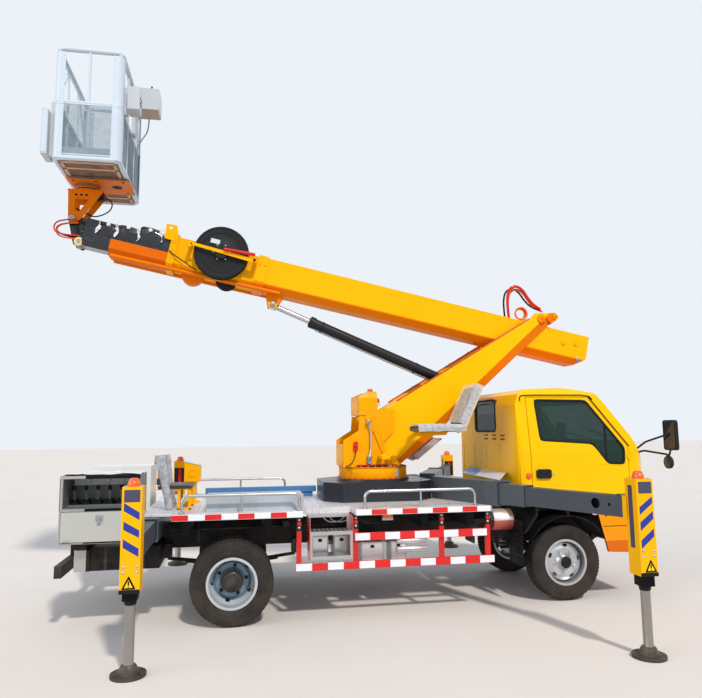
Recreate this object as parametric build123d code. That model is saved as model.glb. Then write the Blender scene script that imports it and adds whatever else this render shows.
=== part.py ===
from build123d import *
import math
import os

os.makedirs("parts", exist_ok=True)

# All sizes are in millimetres. X runs forward from the rear axle, Y to the truck's left,
# Z up from the road. X_ORIGIN moves the finished pieces so that the origin lies under the
# middle of the parked truck's box.
X_ORIGIN = 1221.0
RIGHT, LEFT = -1, 1

# Distance left where one piece rests or runs on another
SEAT_GAP = 0.3

# Wheels and axles
WHEELBASE = 3300.0
TYRE_R = 371.0
BEAD_R = 213.0
FLANGE_R = 226.0
FRONT_TYRE_Y = (570.0, 760.0)
INNER_TYRE_Y = (568.0, 758.0)
OUTER_TYRE_Y = (780.0, 970.0)
SPINDLE_R = 25.0
REAR_SPINDLE_R = 35.0
BEARING_GAP = 0.05
KINGPIN_Y = 540.0
KINGPIN_R = 18.0
FIST_Z = (318.0, 424.0)
FIST_R = 34.0
AXLE_BEAM_Z = (330.0, 410.0)
FRONT_SPRING_Y = (268.0, 332.0)
REAR_SPRING_Y = (410.0, 490.0)
REAR_TUBE_R = 55.0

# Chassis
RAIL_Y = (300.0, 360.0)
RAIL_Z = (600.0, 760.0)
RAIL_X = (-1300.0, 4000.0)
RAIL_WALL = 8.0
REAR_CROSS_X = (-1330.0, -1250.0)
TOW_EYE = (-1532.0, 525.0)
TOW_R = 16.0
CAB_REAR_X = 2790.0
ENGINE_X = (CAB_REAR_X + 60, CAB_REAR_X + 710)
ENGINE_Y = 240.0
ENGINE_Z = (520.0, 960.0)

# Deck
DECK_X = (-530.0, 2430.0)
DECK_Y = 1000.0
DECK_TOP = 985.0
DECK_THICK = 55.0
NOTCH_X = (624.0, 1114.0)
NOTCH_Y = 740.0
STEP_X = (690.0, 1086.0)
STEP_Z = (546.0, 793.0)
STEP_Y = (775.0, 985.0)
CROSS_X = (-430.0, 330.0, 1190.0, 1860.0, 2330.0)
HOOP_R = 14.0
HOOP_TOP = 1155.0
HOOP_Y = 950.0
HOOPS = ((-445.0, 600.0), (1208.0, 2285.0))
GUARD_Y = 965.0
GUARD_RAILS = ((566.0, 2454.0, 486.0), (1105.0, 2406.0, 735.0))
GUARD_POSTS = ((596.0, 450.0), (1120.0, 450.0), (1947.0, 450.0), (2406.0, 450.0))
GUARD_BAR = (22.0, 70.0)

# Front outriggers: each beam leans forward by OUT_ANGLE from the Y axis
OUT_ANGLE = 24.0
LEG_FRONT = (3100.0, 2324.0)
SLEEVE_Y = (200.0, 1050.0)
SLEEVE_Z = (985.0, 1212.0)
SLEEVE_HALF = 88.0
SLEEVE_WALL = 12.0
STAGE_Z = (1003.0, 1193.0)
STAGE_HALF = 70.0
STAGE_WALL = 8.0
STAGE_Y = (745.0, 1330.0)
BEAM_Z = (1017.0, 1179.0)
BEAM_HALF = 56.0
BEAM_INNER_Y = 960.0
BEAM_HOLES = ((2000.0, 42.0), (2115.0, 14.0))
LEG_HALF = (70.0, 75.0)
LEG_TOP = 1320.0
LEG_FRONT_BOTTOM = 600.0
# Rear outriggers: straight across
LEG_REAR = (-710.0, 1931.0)
LEG_REAR_BOTTOM = 576.0
REAR_SLEEVE_Z = (760.0, 962.0)
REAR_SLEEVE_HALF = 70.0
REAR_SLEEVE_WALL = 14.0
REAR_SLEEVE_Y = 980.0
REAR_BEAM_Z = (780.0, 942.0)
REAR_BEAM_HALF = 50.0
REAR_BEAM_INNER_Y = 690.0
PAD_HALF = 45.0
PAD_LONG = 50.0
PAD_IN = 6.0
JACK_HALF = 52.0
JACK_TUBE_Z = (520.0, 850.0)
GUIDE_LONG = 40.0
JACK_ROD_R = 36.0
FOOT_R = 125.0
FOOT_THICK = 22.0

# Cab
CAB_WALL = 30.0
CAB_SIDE = ((CAB_REAR_X, 1000), (CAB_REAR_X, 1955), (2835, 2060), (2950, 2112), (3360, 2130), (3680, 2072),
            (3780, 1955), (4030, 1630), (4112, 1490), (4175, 1440), (4205, 1260), (4200, 870),
            (3615, 870), (3570, 1000))
CAB_FRONT = ((-850, 860), (-850, 1480), (-800, 2045), (-735, 2108), (-620, 2134),
             (620, 2134), (735, 2108), (800, 2045), (850, 1480), (850, 860))
CAB_REAR_RADIUS = 70.0
CAB_FRONT_RADIUS = 170.0
DOOR_EDGE = ((2937, 1012), (2913, 2022), (3588, 2022), (3992, 1512), (3986, 1320), (3986, 1012))
DOOR_GAP = 7.0
DOOR_GLASS = ((3000, 2000), (3568, 1992), (3953, 1505), (3946, 1340), (3765, 1345), (3600, 1550),
              (3037, 1588))
DOOR_HINGE_X = 3984.0
DOOR_HINGE_Y = 856.0
HINGE_PINS = ((1080.0, 1160.0), (1385.0, 1465.0))
HINGE_PIN_R = 6.0
DOOR_IN_Y = 700.0
SCREEN = ((-690, 1560), (-640, 1985), (640, 1985), (690, 1560))
REAR_GLASS_Y = 300.0
REAR_GLASS_Z = (1680.0, 2020.0)
GLASS_DEPTH = (9.0, 14.0)
BUMPER_SIDE = ((3610, 862), (3640, 740), (3672, 619), (3706, 477), (3960, 464), (4190, 480),
               (4226, 560), (4226, 862))
BUMPER_Y = 862.0
LINER_INNER = 462.0
LINER_WALL = 6.0
LINER_R = (LINER_INNER, LINER_INNER + LINER_WALL)
LINER_Y = (400.0, 836.0)
MIRROR_Y = 1105.0

# Turntable and mast
TURN_X = 1483.0
TURN_R = 365.0
TURN_Z = (1202.0, 1325.0)
PEDESTAL_HALF = (575.0, 450.0)
PEDESTAL_Z = (985.0, 1180.0)
MAST_Y = (226.0, 250.0)
MAST_PLATE = ((1124, 1325), (1124, 1600), (1290, 1702), (1300, 1856), (1362, 1850), (1491, 1911),
              (1569, 1930), (1676, 1924), (1672, 1705), (1556, 1575), (1552, 1390), (1735, 1325))
HOOD_X = (1296.0, 1494.0)
HOOD_Z = (1862.0, 2118.0)
LOWER_PIVOT = (1395.0, 1840.0)
LUFF_BASE = (1575.0, 1440.0)
LUFF_EYE = (2300.0, 2020.0)
LUFF_EYE_HALF = 70.0
EYE_CLEAR = 6.0

# Lower boom
LOWER_Y = (182.0, 220.0)
LOWER_SIDE = ((1352, 1792), (1338, 1845), (1352, 1892), (1400, 1910), (1593, 1932), (3290, 2938),
              (3355, 3008), (3600, 3015), (3622, 2945), (3492, 2856), (2087, 1606), (1752, 1348),
              (1600, 1348), (1540, 1450))
LOWER_TOP_PLATE_X = (1600.0, 1900.0)
LOWER_FLOOR = ((2087, 1606), (2965, 2387))
LOWER_PLATE = 10.0
PIN_R = 25.0
ELBOW = (3422.0, 2940.0)
UPPER_BASE = (2413.0, 2214.0)

# Upper boom: its own frame runs from UPPER_REF along the boom towards the basket
UPPER_REF = (2105.0, 2985.0)
UPPER_ANGLE = 12.2
UPPER_HALF_H = 175.0
UPPER_HALF_Y = 170.0
UPPER_S = (-1930.0, 1945.0)
UPPER_BEVEL = (70.0, 62.0)
UPPER_WALL = 9.0
UPPER_EYE = (390.0, 3067.0)
UPPER_EYE_HALF = 55.0
NECK_S = 2870.0
TROUGH_S = 3460.0
FLY_HALF = (148.0, 142.0)
FLY_BEVEL = (60.0, 48.0)
FLY_S = (-200.0, 3740.0)
REEL = (-157.0, 3568.0)
REEL_R = 280.0

# Basket
TIP_PIVOT = (-1683.0, 3915.0)
BASKET_X = (-1775.0, -1126.0)
BASKET_CX = -1450.5
BASKET_Y = 637.0
BASKET_Z = (4330.0, 5500.0)
BASKET_TUBE = 25.0
BASKET_MID = BASKET_Z[0] + (BASKET_Z[1] - BASKET_Z[0]) * 119 / 234
MID_TUBE = 17.0
SWING_X = -1560.0
SWING_Z = 4268.0
PANEL_Z = (BASKET_Z[0] + 52, BASKET_MID - MID_TUBE)
POST_IN = 22.0


def save(name, *shapes):
    """Write one node, moved so that the origin lies under the truck's middle."""
    shape = shapes[0] if len(shapes) == 1 else Compound(children=list(shapes))
    export_step(shape.moved(Location((-X_ORIGIN, 0, 0))), "parts/" + name + ".step")


def join(shapes):
    """One shape from a list that touches or overlaps."""
    whole = shapes[0]
    for shape in shapes[1:]:
        whole = whole + shape
    return whole


def apart(shapes):
    """Solids that meet face to face: each is cut back from those before it."""
    solids = []
    for piece in [solid for shape in shapes for solid in shape.solids()]:
        rest = [piece]
        for other in solids:
            rest = [left for part in rest for left in (part - other).solids()]
        solids += rest
    return solids


def box(x, y, z):
    """A block from three (low, high) pairs."""
    centre = ((x[0] + x[1]) / 2, (y[0] + y[1]) / 2, (z[0] + z[1]) / 2)
    return Pos(*centre) * Box(x[1] - x[0], y[1] - y[0], z[1] - z[0])


def span(a, b):
    """The two values in rising order."""
    return (min(a, b), max(a, b))


def side_plate(points, y):
    """A plate drawn in the XZ plane between two Y values."""
    low, high = span(*y)
    face = make_face(Polyline([(px, low, pz) for px, pz in points], close=True))
    return extrude(face, amount=high - low, dir=(0, 1, 0))


def front_plate(points, x):
    """A plate drawn in the YZ plane between two X values."""
    low, high = span(*x)
    face = make_face(Polyline([(low, py, pz) for py, pz in points], close=True))
    return extrude(face, amount=high - low, dir=(1, 0, 0))


def top_plate(points, z):
    """A plate drawn in the XY plane between two Z values."""
    low, high = span(*z)
    face = make_face(Polyline([(px, py, low) for px, py in points], close=True))
    return extrude(face, amount=high - low, dir=(0, 0, 1))


def rod(start, end, radius):
    """A round bar between two points."""
    a, b = Vector(*start), Vector(*end)
    return Solid.make_cylinder(radius, (b - a).length, Plane(origin=a, z_dir=b - a))


def cross_rod(xz, y, radius):
    """A round bar along Y at an (X, Z) point."""
    low, high = span(*y)
    return rod((xz[0], low, xz[1]), (xz[0], high, xz[1]), radius)


def bent_tube(points, bend, radius):
    """A round tube along a line with rounded corners."""
    path = FilletPolyline(*points, radius=bend)
    return sweep(Plane(origin=path @ 0, z_dir=path % 0) * Circle(radius), path=path)


def turned(profile, x, z):
    """A ring about the Y axis through (X, Z), from (radius, Y) points."""
    face = make_face(Polyline([(x + r, y, z) for r, y in profile], close=True))
    return revolve(face, Axis((x, 0, z), (0, 1, 0)), 360)


def mirror_y(shape):
    """The same shape on the truck's other side."""
    return mirror(shape, about=Plane.XZ)


def both(shape):
    """The shape and its mirror image."""
    return shape + mirror_y(shape)


def tyre(y):
    """A tyre with rounded shoulders between two Y values."""
    a, b = y
    return turned(((BEAD_R, a + 20), (BEAD_R + 17, a + 20), (240, a + 8), (300, a), (345, a + 4),
                   (365, a + 18), (TYRE_R, a + 34), (TYRE_R, b - 34), (365, b - 18), (345, b - 4),
                   (300, b), (240, b - 8), (BEAD_R + 17, b - 20), (BEAD_R, b - 20)), 0, TYRE_R)


def rim_barrel(y):
    """A rim's barrel and its two flanges."""
    a, b = y
    return turned(((203, a + 12), (FLANGE_R, a + 12), (FLANGE_R, a + 20), (BEAD_R, a + 20),
                   (BEAD_R, b - 20), (FLANGE_R, b - 20), (FLANGE_R, b - 12), (203, b - 12)),
                  0, TYRE_R)


def vents(shape, count, radius, y, size, start):
    """Cut a ring of slots through a wheel disc, the first one at a start angle from +X."""
    for i in range(count):
        angle = math.radians(start + 360 / count * i)
        cx, cz = radius * math.cos(angle), TYRE_R + radius * math.sin(angle)
        slot = extrude(Plane.XY * SlotOverall(size[0], size[1]), amount=400, both=True)
        slot = Rotation(90, 0, 0) * slot
        slot = Rotation(0, 90 - math.degrees(angle), 0) * slot
        shape = shape - Pos(cx, y, cz) * slot
    return shape


def front_wheel(side):
    """Front tyre and rim, at the rear axle's X until they are placed."""
    a, b = FRONT_TYRE_Y
    bore = SPINDLE_R + BEARING_GAP
    disc = turned(((bore, 600), (150, 600), (150, 664), (80, 664), (80, 684), (130, 690),
                   (175, 676), (203, 640), (203, 654), (180, 694), (135, 708), (86, 702),
                   (66, 722), (60, 748), (bore, 748)), 0, TYRE_R)
    rim = rim_barrel(FRONT_TYRE_Y) + disc
    rim = vents(rim, 5, 160, 690, (52, 30), 12)
    place = Location((WHEELBASE, 0, 0))
    pieces = [tyre((a, b)).moved(place), rim.moved(place)]
    return [mirror_y(p) for p in pieces] if side == RIGHT else pieces


def rear_wheels(side):
    """Twin rear tyres and their joined rims."""
    bore = REAR_SPINDLE_R + BEARING_GAP
    disc = turned(((bore, 600), (155, 600), (155, 700), (110, 712), (110, 756), (150, 757),
                   (203, 700), (203, 716), (168, 769), (203, 822), (203, 838), (150, 781),
                   (110, 782), (104, 830), (92, 872), (bore, 880)), 0, TYRE_R)
    rim = rim_barrel(INNER_TYRE_Y) + rim_barrel(OUTER_TYRE_Y) + disc
    rim = vents(rim, 5, 176, 769, (44, 26), 42)
    tyres = Compound(children=[tyre(INNER_TYRE_Y), tyre(OUTER_TYRE_Y)])
    return [mirror_y(p) for p in (tyres, rim)] if side == RIGHT else [tyres, rim]


def knuckle():
    """Left steering knuckle: two ears, kingpin, back plate and spindle."""
    x, y = WHEELBASE, KINGPIN_Y
    low, high = FIST_Z
    ears = [rod((x, y, low - 5), (x, y, low - 30), 32), rod((x, y, high + 5), (x, y, high + 30), 32)]
    plate = box((x - 40, x + 40), (580, 596), (low - 30, high + 30))
    arms = [box((x - 32, x + 32), (y, 590), (low - 30, low - 5)),
            box((x - 32, x + 32), (y, 590), (high + 5, high + 30))]
    pin = rod((x, y, low - 30), (x, y, high + 30), KINGPIN_R - BEARING_GAP)
    spindle = rod((x, 590, TYRE_R), (x, 700, TYRE_R), SPINDLE_R)
    lever = box((x - 150, x - 20), (y - 16, y + 16), (low - 28, low - 8))
    return join(ears + [plate, pin, spindle, lever] + arms)


def axles():
    """Front beam with its fists, rear tube with its final drive, and the leaf springs."""
    x, z = WHEELBASE, AXLE_BEAM_Z
    fist = rod((x, KINGPIN_Y, FIST_Z[0]), (x, KINGPIN_Y, FIST_Z[1]), FIST_R)
    neck = box((x - 28, x + 28), (480, KINGPIN_Y), (FIST_Z[0] + 6, FIST_Z[1] - 6))
    beam = box((x - 34, x + 34), (0, 490), z)
    half = join([beam, neck, fist]) - rod((x, KINGPIN_Y, 200), (x, KINGPIN_Y, 500), KINGPIN_R)
    front = both(half)
    front += both(leaf_spring(x, FRONT_SPRING_Y, z[1], 560))
    half_line = ((165, 60), (120, 130), (REAR_TUBE_R, 160), (REAR_TUBE_R, 560),
                 (REAR_SPINDLE_R, 560), (REAR_SPINDLE_R, 790), (0, 790))
    line = [(r, -y) for r, y in reversed(half_line)] + list(half_line)
    nose = box((100, 300), (-50, 50), (TYRE_R - 50, TYRE_R + 50))
    rear = turned(line, 0, TYRE_R) + nose
    rear += both(leaf_spring(0, REAR_SPRING_Y, TYRE_R + REAR_TUBE_R - 6, 600))
    return front, rear


def engine_block():
    """One block for the engine and gearbox, on four feet that rest on the rails."""
    block = box(ENGINE_X, (-ENGINE_Y, ENGINE_Y), ENGINE_Z)
    top = RAIL_Z[1] + SEAT_GAP
    feet = [both(box((fx, fx + 60), (ENGINE_Y - 10, RAIL_Y[1] - 20), (top, top + 30)))
            for fx in (ENGINE_X[0] + 40, ENGINE_X[1] - 100)]
    return join([block] + feet)


def leaf_spring(x, y, bottom, reach):
    """Stacked leaves on an axle, curving up to the shackles."""
    leaves = []
    table = ((1.0, 18.0), (0.72, 34.0), (0.45, 50.0))
    for part, lift in table:
        far, near = reach * part, 60
        rise = 62 * part
        leaves.append(side_plate(((x - far, bottom + 50 - lift + rise), (x - near, bottom + 50 - lift),
                                  (x + near, bottom + 50 - lift), (x + far, bottom + 50 - lift + rise),
                                  (x + far, bottom + 66 - lift + rise), (x + near, bottom + 66 - lift),
                                  (x - near, bottom + 66 - lift),
                                  (x - far, bottom + 66 - lift + rise)), y))
    return join(leaves)


def frame_rails():
    """Two channel rails, cross-members, spring hangers and the rear bumper."""
    y0, y1 = RAIL_Y
    z0, z1 = RAIL_Z
    channel = ((y1, z0), (y1, z1), (y0, z1), (y0, z1 - RAIL_WALL), (y1 - RAIL_WALL, z1 - RAIL_WALL),
               (y1 - RAIL_WALL, z0 + RAIL_WALL), (y0, z0 + RAIL_WALL), (y0, z0))
    rails = both(front_plate(channel, RAIL_X))
    cross = [box((cx, cx + 70), (-y1 + 4, y1 - 4), (z0 + 25, z1 - 25))
             for cx in (-1290, -480, 520, 1350, 2150, 3900)]
    rear_beam = box(REAR_CROSS_X, (-900, 900), (700, 760))
    front_beam = box((3930, 4000), (-700, 700), (610, 690))
    hangers = []
    for cx, y, foot in ((2740, FRONT_SPRING_Y, 520), (3860, FRONT_SPRING_Y, 520),
                        (-600, REAR_SPRING_Y, 530), (600, REAR_SPRING_Y, 530)):
        inner = min(y[0], y1 - 4)
        hangers.append(both(box((cx - 30, cx + 30), (inner, y[1]), (foot, z0 + 60))))
    mounts = [both(box((2800, 2848), (y0, y1), (z1, z1 + 240))),
              both(box((3780, 3840), (y0, y1), (z1, z1 + 110))),
              both(box((4000, 4186), (y0, y1), (610, 690)))]
    tow = box((-1560, -1500), (-20, 20), (495, 555)) - cross_rod(TOW_EYE, (-30, 30), TOW_R)
    bar = box((-1500, -1440), (-900, 900), (474, 575))
    legs = both(box((-1490, -1450), (330, 390), (520, 690)))
    ties = both(box((-1490, -1290), (330, 390), (640, 700)))
    return apart([rails] + cross + [rear_beam, front_beam] + hangers + mounts + [bar, legs, ties, tow])


def deck():
    """Ribbed platform with a step notch on each side, on cross-beams."""
    edge = (DECK_TOP - DECK_THICK, DECK_TOP)
    plate = box(DECK_X, (-DECK_Y, DECK_Y), edge)
    for side in (RIGHT, LEFT):
        plate -= box(NOTCH_X, span(side * NOTCH_Y, side * (DECK_Y + 10)), (900, 1100))
    beams = [box((cx - 35, cx + 35), (-680, 680), (760, edge[0])) for cx in CROSS_X]
    rear_shelf = box((-800, -530), (-900, 900), (963, DECK_TOP))
    return join([plate, rear_shelf] + beams)


def step(side):
    """Hanging step under a notch: two hangers, two treads and a backing sheet."""
    near, far = STEP_Y
    parts = [box((STEP_X[0], STEP_X[1]), (near, far), (STEP_Z[0], STEP_Z[0] + 30)),
             box((STEP_X[0], STEP_X[1]), (near, far), (STEP_Z[1] - 30, STEP_Z[1]))]
    for hx in (STEP_X[0], STEP_X[1] - 25):
        parts.append(box((hx, hx + 25), (near, near + 30), (STEP_Z[0], 930)))
        parts.append(box((hx, hx + 25), (far - 30, far), (STEP_Z[0], STEP_Z[1])))
    parts.append(box((STEP_X[0], STEP_X[1]), (680, near + 30), (900, 930)))
    whole = join(parts)
    return mirror_y(whole) if side == RIGHT else whole


def hoop_rails():
    """Low tube hoops along both deck edges."""
    hoops = []
    for x0, x1 in HOOPS:
        path = ((x0, HOOP_Y, DECK_TOP), (x0, HOOP_Y, HOOP_TOP - HOOP_R),
                (x1, HOOP_Y, HOOP_TOP - HOOP_R), (x1, HOOP_Y, DECK_TOP))
        hoops.append(bent_tube(path, 60, HOOP_R))
        middle = (x0 + x1) / 2
        hoops.append(rod((middle, HOOP_Y, DECK_TOP), (middle, HOOP_Y, HOOP_TOP - HOOP_R), HOOP_R * 0.8))
    return both(join(hoops))


def side_guards():
    """Guard rails below the deck with their posts."""
    thick, high = GUARD_BAR
    bars = [box((x0, x1), (GUARD_Y - thick, GUARD_Y), (z - high / 2, z + high / 2))
            for x0, x1, z in GUARD_RAILS]
    posts = [box((x - 22, x + 22), (GUARD_Y - thick - 40, GUARD_Y - thick), (z0, 930))
             for x, z0 in GUARD_POSTS]
    return both(join(bars + posts))


def storage_boxes():
    """Silver boxes under the deck and the reservoir behind the front wheel."""
    table = ((739, 896, 505, 715), (946, 1102, 505, 715), (1211, 1435, 450, 640),
             (1503, 1659, 450, 640))
    boxes = []
    for x0, x1, z0, z1 in table:
        boxes.append(box((x0, x1), (520, 700), (z0, z1)))
    shelf = box((739, 1659), (360, 520), (600, 640))
    drum = rod((2590, -560, 790), (2800, -560, 790), 105) + box((2660, 2720), (-470, -360), (700, 740))
    return both(join(boxes + [shelf])) + drum


def rear_tank():
    """Dark tank and tool box hung outside the rails behind the rear wheels."""
    tank = box((-1230, -640), (380, 800), (505, 700))
    lid = box((-1360, -1230), (560, 820), (505, 690))
    strap = both(join([tank, lid, box((-1000, -940), (360, 400), (620, 690))]))
    return strap


def sleeve(side):
    """Front outrigger sleeve with its mouth collar and the wear pads inside the mouth."""
    outer = leaning(side, SLEEVE_Y, SLEEVE_HALF, SLEEVE_Z)
    collar = leaning(side, (SLEEVE_Y[1] - 26, SLEEVE_Y[1]), SLEEVE_HALF + 10,
                     (SLEEVE_Z[0], SLEEVE_Z[1] + 10))
    inner = leaning(side, (SLEEVE_Y[0] + 12, SLEEVE_Y[1] + 40), SLEEVE_HALF - SLEEVE_WALL,
                    (SLEEVE_Z[0] + SLEEVE_WALL, SLEEVE_Z[1] - SLEEVE_WALL))
    pads = pad_pair(side, SLEEVE_Y[1], SLEEVE_Z, SLEEVE_WALL, STAGE_Z)
    return join([outer + collar - inner] + pads)


def pad_pair(side, mouth, tube_z, wall, inner_z):
    """Wear pads above and below what slides in a leaning tube, just inside its mouth."""
    y = (mouth - PAD_IN - PAD_LONG, mouth - PAD_IN)
    return [leaning(side, y, PAD_HALF, (tube_z[0] + wall - 2, inner_z[0] - SEAT_GAP)),
            leaning(side, y, PAD_HALF, (inner_z[1] + SEAT_GAP, tube_z[1] - wall + 2))]


def leaning(side, y, half, z):
    """A square-ended block along a front outrigger's line, between two Y values."""
    lean = math.radians(OUT_ANGLE)
    along = (math.sin(lean), math.cos(lean))
    across = (math.cos(lean), -math.sin(lean))
    corners = []
    for end, wide in ((y[0], -half), (y[0], half), (y[1], half), (y[1], -half)):
        cx = LEG_FRONT[0] - (LEG_FRONT[1] - end) * math.tan(lean)
        corners.append((cx + across[0] * wide, side * (end + across[1] * wide)))
    return top_plate(corners, z)


def rear_sleeve():
    """One tube across the rails for both rear beams, with a wall between them."""
    x = LEG_REAR[0]
    w, t = REAR_SLEEVE_HALF, REAR_SLEEVE_WALL
    z0, z1 = REAR_SLEEVE_Z
    outer = box((x - w, x + w), (-REAR_SLEEVE_Y, REAR_SLEEVE_Y), (z0, z1))
    inner = box((x - w + t, x + w - t), (50, REAR_SLEEVE_Y + 20), (z0 + t, z1 - t))
    mouth = (REAR_SLEEVE_Y - PAD_IN - PAD_LONG, REAR_SLEEVE_Y - PAD_IN)
    across = (x - PAD_HALF + 5, x + PAD_HALF - 5)
    pads = [both(box(across, mouth, (z0 + t - 2, REAR_BEAM_Z[0] - SEAT_GAP))),
            both(box(across, mouth, (REAR_BEAM_Z[1] + SEAT_GAP, z1 - t + 2)))]
    return join([outer - inner - mirror_y(inner)] + pads)


def front_stage(side):
    """First sliding stage of a front beam."""
    outer = leaning(side, STAGE_Y, STAGE_HALF, STAGE_Z)
    inner = leaning(side, (STAGE_Y[0] - 20, STAGE_Y[1] + 20), STAGE_HALF - STAGE_WALL,
                    (STAGE_Z[0] + STAGE_WALL, STAGE_Z[1] - STAGE_WALL))
    return join([outer - inner] + pad_pair(side, STAGE_Y[1], STAGE_Z, STAGE_WALL, BEAM_Z))


def leg(x, y, bottom):
    """Square outer leg with a cap and a lamp, open below for the jack and its guide."""
    hx, hy = LEG_HALF
    outer = box((x - hx, x + hx), (y - hy, y + hy), (bottom, LEG_TOP))
    wide, close = JACK_HALF + 5, JACK_HALF + SEAT_GAP
    bore = box((x - wide, x + wide), (y - wide, y + wide), (bottom + GUIDE_LONG, LEG_TOP - 14))
    bore += box((x - close, x + close), (y - close, y + close), (bottom - 10, bottom + GUIDE_LONG + 5))
    lamp = rod((x, y, LEG_TOP), (x, y, LEG_TOP + 34), 34) + rod((x, y, LEG_TOP + 34),
                                                                (x, y, LEG_TOP + 58), 26)
    return outer - bore, lamp


def front_beam(side):
    """Front outrigger beam with its leg."""
    x, y = LEG_FRONT
    beam = leaning(1, (BEAM_INNER_Y, y - 70), BEAM_HALF, BEAM_Z)
    beam -= leaning(1, (BEAM_INNER_Y - 20, y - 90), BEAM_HALF - 9, (BEAM_Z[0] + 9, BEAM_Z[1] - 9))
    lean = math.tan(math.radians(OUT_ANGLE))
    for hy, radius in BEAM_HOLES:
        hx = x - (y - hy) * lean
        beam -= rod((hx, hy, 1105), (hx - 200, hy + 200 * lean, 1105), radius)
    outer, lamp = leg(x, y, LEG_FRONT_BOTTOM)
    flange = box((x - 100, x + 30), (y - 150, y - 75), (BEAM_Z[1], BEAM_Z[1] + 12))
    whole = join([outer, lamp, flange, beam - box((x - 70, x + 70), (y - 75, y + 75), (900, 1300))])
    return mirror_y(whole) if side == RIGHT else whole


def rear_beam(side):
    """Rear outrigger beam with its leg."""
    x, y = LEG_REAR
    tube = box((x - REAR_BEAM_HALF, x + REAR_BEAM_HALF), (REAR_BEAM_INNER_Y, y - 74), REAR_BEAM_Z)
    tube -= box((x - REAR_BEAM_HALF + 9, x + REAR_BEAM_HALF - 9), (REAR_BEAM_INNER_Y - 20, y - 90),
                (REAR_BEAM_Z[0] + 9, REAR_BEAM_Z[1] - 9))
    outer, lamp = leg(x, y, LEG_REAR_BOTTOM)
    whole = join([outer, lamp, tube])
    return mirror_y(whole) if side == RIGHT else whole


def jack(x, y, side):
    """Sliding inner leg, chrome rod and round foot pad."""
    tube = box((x - JACK_HALF, x + JACK_HALF), (y - JACK_HALF, y + JACK_HALF), JACK_TUBE_Z)
    bar = rod((x, y, 60), (x, y, 520), JACK_ROD_R)
    ball = rod((x, y, 34), (x, y, 78), 46)
    foot = rod((x, y, 0), (x, y, FOOT_THICK), FOOT_R) + rod((x, y, FOOT_THICK), (x, y, 40), 80)
    whole = join([tube, bar, ball, foot])
    return mirror_y(whole) if side == RIGHT else whole


def cab_volume(inset):
    """The cab's closed outline, set in by a distance."""
    sideways = offset(make_face(Polyline([(x, 0, z) for x, z in CAB_SIDE], close=True)),
                      amount=-inset, kind=Kind.INTERSECTION) if inset else make_face(
        Polyline([(x, 0, z) for x, z in CAB_SIDE], close=True))
    ahead = make_face(Polyline([(0, y, z) for y, z in CAB_FRONT], close=True))
    if inset:
        ahead = offset(ahead, amount=-inset, kind=Kind.INTERSECTION)
    x0, x1 = 2790 + inset, 4205 - inset
    half = 850 - inset
    plan = extrude(Plane.XY * Pos((x0 + x1) / 2, 0) * Rectangle(x1 - x0, 2 * half), amount=2400)
    rear_edges = plan.edges().filter_by(Axis.Z).group_by(Axis.X)[0]
    plan = fillet(rear_edges, max(CAB_REAR_RADIUS - inset, 15))
    front_edges = plan.edges().filter_by(Axis.Z).group_by(Axis.X)[-1]
    plan = fillet(front_edges, CAB_FRONT_RADIUS - inset)
    a = extrude(sideways, amount=1000, both=True, dir=(0, 1, 0))
    b = extrude(ahead, amount=5000, dir=(1, 0, 0))
    return (plan & a) & b


def cab_parts():
    """Cab shell, doors, their glass and the fixed glass."""
    outer, inner = cab_volume(0), cab_volume(CAB_WALL)
    walls = outer - inner
    pane = cab_volume(GLASS_DEPTH[0]) - cab_volume(GLASS_DEPTH[1])
    screen_cut = front_plate(SCREEN, (3650, 4300))
    rear_cut = box((2700, 2900), (-REAR_GLASS_Y, REAR_GLASS_Y), REAR_GLASS_Z)
    shell = walls - screen_cut - rear_cut
    glass = (pane & screen_cut) + (pane & rear_cut)
    door_solid = side_plate(DOOR_EDGE, (DOOR_IN_Y, 900))
    grown = offset(make_face(Polyline([(x, DOOR_IN_Y, z) for x, z in DOOR_EDGE], close=True)),
                   amount=DOOR_GAP, kind=Kind.INTERSECTION)
    opening = extrude(grown, amount=220, dir=(0, 1, 0))
    window = side_plate(DOOR_GLASS, (DOOR_IN_Y, 900))
    shell = shell - opening - mirror_y(opening)
    door = (walls & door_solid) - window
    card = side_plate(((2960, 1040), (2950, 1560), (3590, 1520), (3740, 1310), (3940, 1300),
                       (3950, 1040)), (792, 822)) - side_plate(
        ((3100, 1130), (3100, 1330), (3600, 1330), (3600, 1130)), (780, 812))
    door = door + card
    handle = box((2975, 3125), (846, 868), (1215, 1300)) - box((2990, 3110), (852, 862), (1225, 1290))
    door = door + handle
    for z in HINGE_PINS:
        fixed, swung, room = hinge(z)
        shell += fixed + mirror_y(fixed)
        door = door - room + swung
    door_glass = pane & window
    return shell, glass, door, door_glass


def hinge(z):
    """Left door hinge: the pin with its two lugs, the barrel it turns in, and the pin's room."""
    x, y = DOOR_HINGE_X, DOOR_HINGE_Y
    low, high = z
    pin = rod((x, y, low), (x, y, high), HINGE_PIN_R)
    lugs = [box((x - 3, x + 40), (y - 3, y + 6), ends) + box((x + 20, x + 40), (y - 20, y), ends)
            for ends in ((low, low + 15), (high - 15, high))]
    barrel = rod((x, y, low + 20), (x, y, high - 20), HINGE_PIN_R + 3)
    barrel -= rod((x, y, low), (x, y, high), HINGE_PIN_R + BEARING_GAP)
    return join([pin] + lugs), barrel, rod((x, y, low - 5), (x, y, high + 5), HINGE_PIN_R + 1)


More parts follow.
